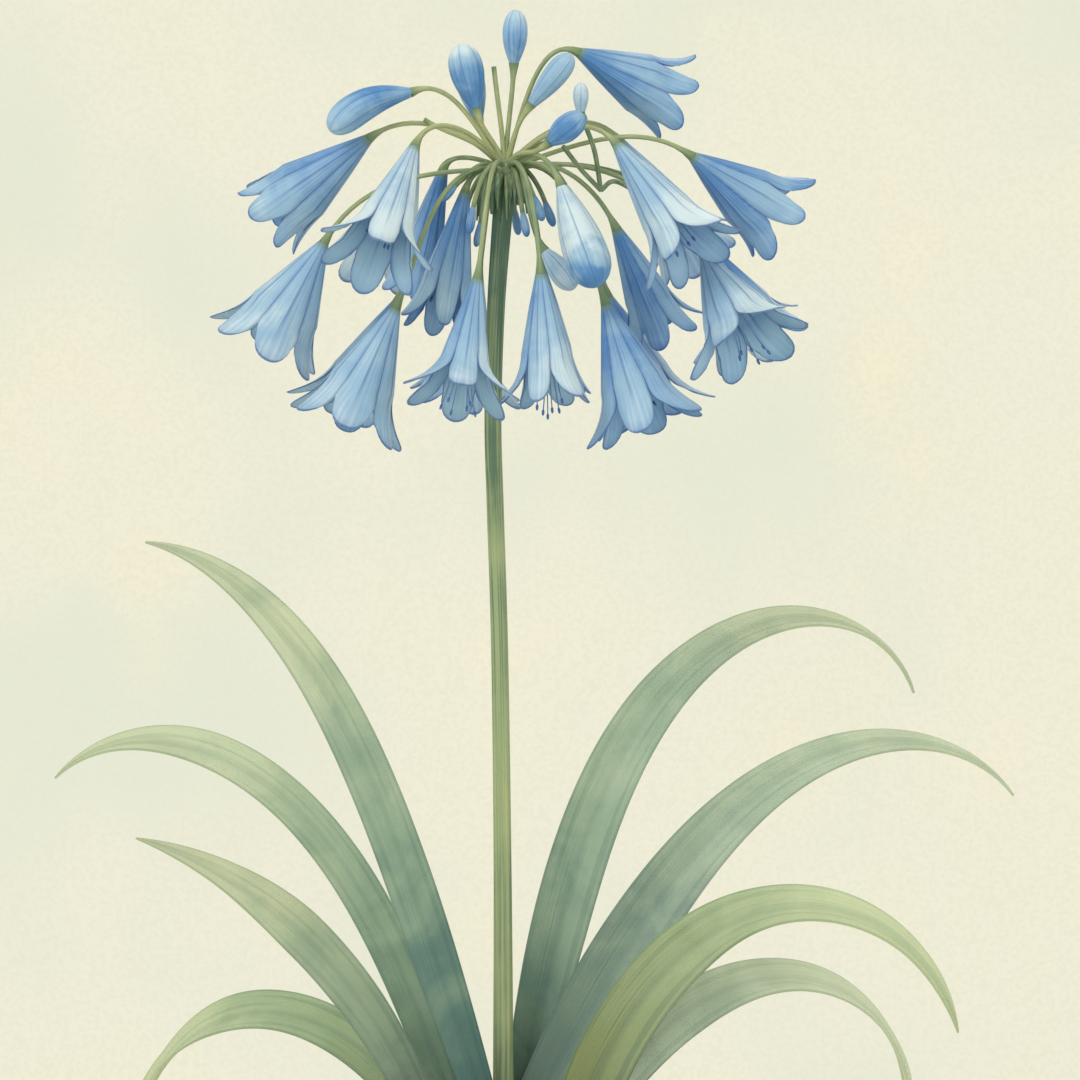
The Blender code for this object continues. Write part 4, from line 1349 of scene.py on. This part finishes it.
def turned(name, profile, sides, uneven=0.0):
    """Turns a closed profile of (radius, height) round the upright axis on a grid."""
    rows = len(profile) - 1
    piece = sheet(name, sides, rows)

    def rule(across, along):
        radius, height = profile[round(along * rows)]
        turn = across * math.tau
        wobble = noise.noise(Vector((math.cos(turn), math.sin(turn), height * 0.02))) * uneven
        radius = max(0.0, radius + wobble * min(1.0, radius / 30.0))
        return Vector((radius * math.cos(turn), radius * math.sin(turn), height))

    carry(piece, rule)
    weld(piece, 0.01)
    return piece


def stepped(corners, step):
    """Adds points to a profile so that none are further apart than a step."""
    points = []
    for (r1, h1), (r2, h2) in zip(corners, corners[1:]):
        count = max(1, round(math.hypot(r2 - r1, h2 - h1) / step))
        points += [(r1 + (r2 - r1) * k / count, h1 + (h2 - h1) * k / count) for k in range(count)]
    return points + [corners[-1]]


band_foot = POT_HEIGHT - POT_BAND_HEIGHT
band = POT_SHOULDER_RADIUS + POT_BAND_PROUD
rim = band + POT_BAND_FLARE
inner_rim = pot_inner_radius(POT_HEIGHT)
pot_profile = stepped(
    (
        (DRAIN_RADIUS, 0.6),
        (DRAIN_RADIUS, POT_FLOOR),
        (pot_inner_radius(POT_FLOOR), POT_FLOOR),
        (inner_rim, POT_HEIGHT - POT_EDGE),
        (inner_rim + POT_EDGE * 0.3, POT_HEIGHT - POT_EDGE * 0.3),
        (inner_rim + POT_EDGE, POT_HEIGHT),
        (rim - POT_EDGE, POT_HEIGHT),
        (rim - POT_EDGE * 0.3, POT_HEIGHT - POT_EDGE * 0.3),
        (rim, POT_HEIGHT - POT_EDGE),
        (band + POT_EDGE * 0.3, band_foot + POT_EDGE),
        (band, band_foot + POT_EDGE * 0.4),
        (band - POT_EDGE, band_foot),
        (POT_SHOULDER_RADIUS + 0.6, band_foot),
        (POT_SHOULDER_RADIUS, band_foot - 0.8),
        (POT_FOOT_RADIUS + 0.3, POT_EDGE * 1.4),
        (POT_FOOT_RADIUS - POT_EDGE * 0.3, POT_EDGE * 0.4),
        (POT_FOOT_RADIUS - POT_EDGE * 1.2, 0.0),
        (DRAIN_RADIUS + 0.6, 0.0),
        (DRAIN_RADIUS, 0.6),
    ),
    POT_STEP,
)
pot = turned("pot_clay", pot_profile, POT_SIDES, 0.35)
pot.data.materials.append(CLAY)
smooth(pot, 40.0)
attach(pot, "root")
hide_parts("pot")
print("pot of", len(pot.data.polygons), "faces")

# %% [markdown]
# ## Soil
#
# Potting soil closes round the stem and leaves. It is turned like the pot and then roughened by a noise, so that it
# rises in small clods. Loose crumbs lie on it: one small rough ball, copied in several hundred places and sizes.

# %% Soil material


def soil_material():
    """Dark damp soil."""
    made, shader, wire = new_material("potting_soil", 0.95)
    wash = wire.group(WASH, Scale=160.0)
    fine = wire.group(WASH, Scale=500.0, Seed=2.0)
    body = wire.mix(wash.outputs["Clouds"], mixed(62, 46, 34), mixed(104, 80, 58))
    body = wire.mix(wire.times(fine.outputs["Clouds"], 0.5), body, mixed(40, 30, 24))
    wire.join(body, shader.inputs["Base Color"])
    add_bump(wire, shader, fine.outputs["Clouds"], 0.8)
    return made


SOIL = soil_material()

# %% Soil shape
SOIL_MOUND = 1.5
SOIL_SIDES = 120
SOIL_RISE = 1.6
CRUMBS = 420


def soil_height(x, y):
    """Height of the soil at a place, in millimetres."""
    share = math.hypot(x, y) / pot_inner_radius(SOIL_TOP)
    clods = noise.noise(Vector((x, y, 0.0)) * 0.09) + 0.6 * noise.noise(Vector((x, y, 9.0)) * 0.28)
    return SOIL_TOP - SOIL_MOUND * share**4 + SOIL_RISE * (clods - 0.2) * min(1.0, (1.0 - share) * 12.0)


top_radius = pot_inner_radius(SOIL_TOP) - GAP
soil_profile = stepped(
    (
        (0.0, SOIL_TOP),
        (top_radius, SOIL_TOP),
        (pot_inner_radius(POT_FLOOR) - GAP, POT_FLOOR + GAP),
        (0.0, POT_FLOOR + GAP),
    ),
    2.0,
)
soil = turned("soil_ground", soil_profile, SOIL_SIDES)
for vert in soil.data.vertices:
    if vert.co.z > (SOIL_TOP - 0.1) * MM:
        vert.co.z = soil_height(vert.co.x / MM, vert.co.y / MM) * MM
print("soil of", len(soil.data.polygons), "faces")

# %% Crumbs
bpy.ops.mesh.primitive_ico_sphere_add(subdivisions=1, radius=1.0)
crumb = bpy.context.object
crumbs = []
luck = random.Random(21)
for number in range(CRUMBS):
    turn, reach = luck.uniform(0.0, math.tau), top_radius * 0.97 * math.sqrt(luck.random())
    x, y = reach * math.cos(turn), reach * math.sin(turn)
    size = luck.uniform(0.5, 1.9)
    copy = crumb.copy()
    copy.data = crumb.data.copy()
    bpy.context.collection.objects.link(copy)
    for vert in copy.data.vertices:
        vert.co = vert.co * size * luck.uniform(0.75, 1.2) * MM
    copy.data.transform(Matrix.Translation(Vector((x, y, soil_height(x, y) + size * 0.2)) * MM))
    crumbs.append(copy)
bpy.data.objects.remove(crumb, do_unlink=True)
ground = join("soil_skin", [soil, *crumbs])
ground.data.materials.append(SOIL)
smooth(ground, 50.0)
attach(ground, "root")
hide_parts("soil")
print("soil with", CRUMBS, "crumbs:", len(ground.data.polygons), "faces")
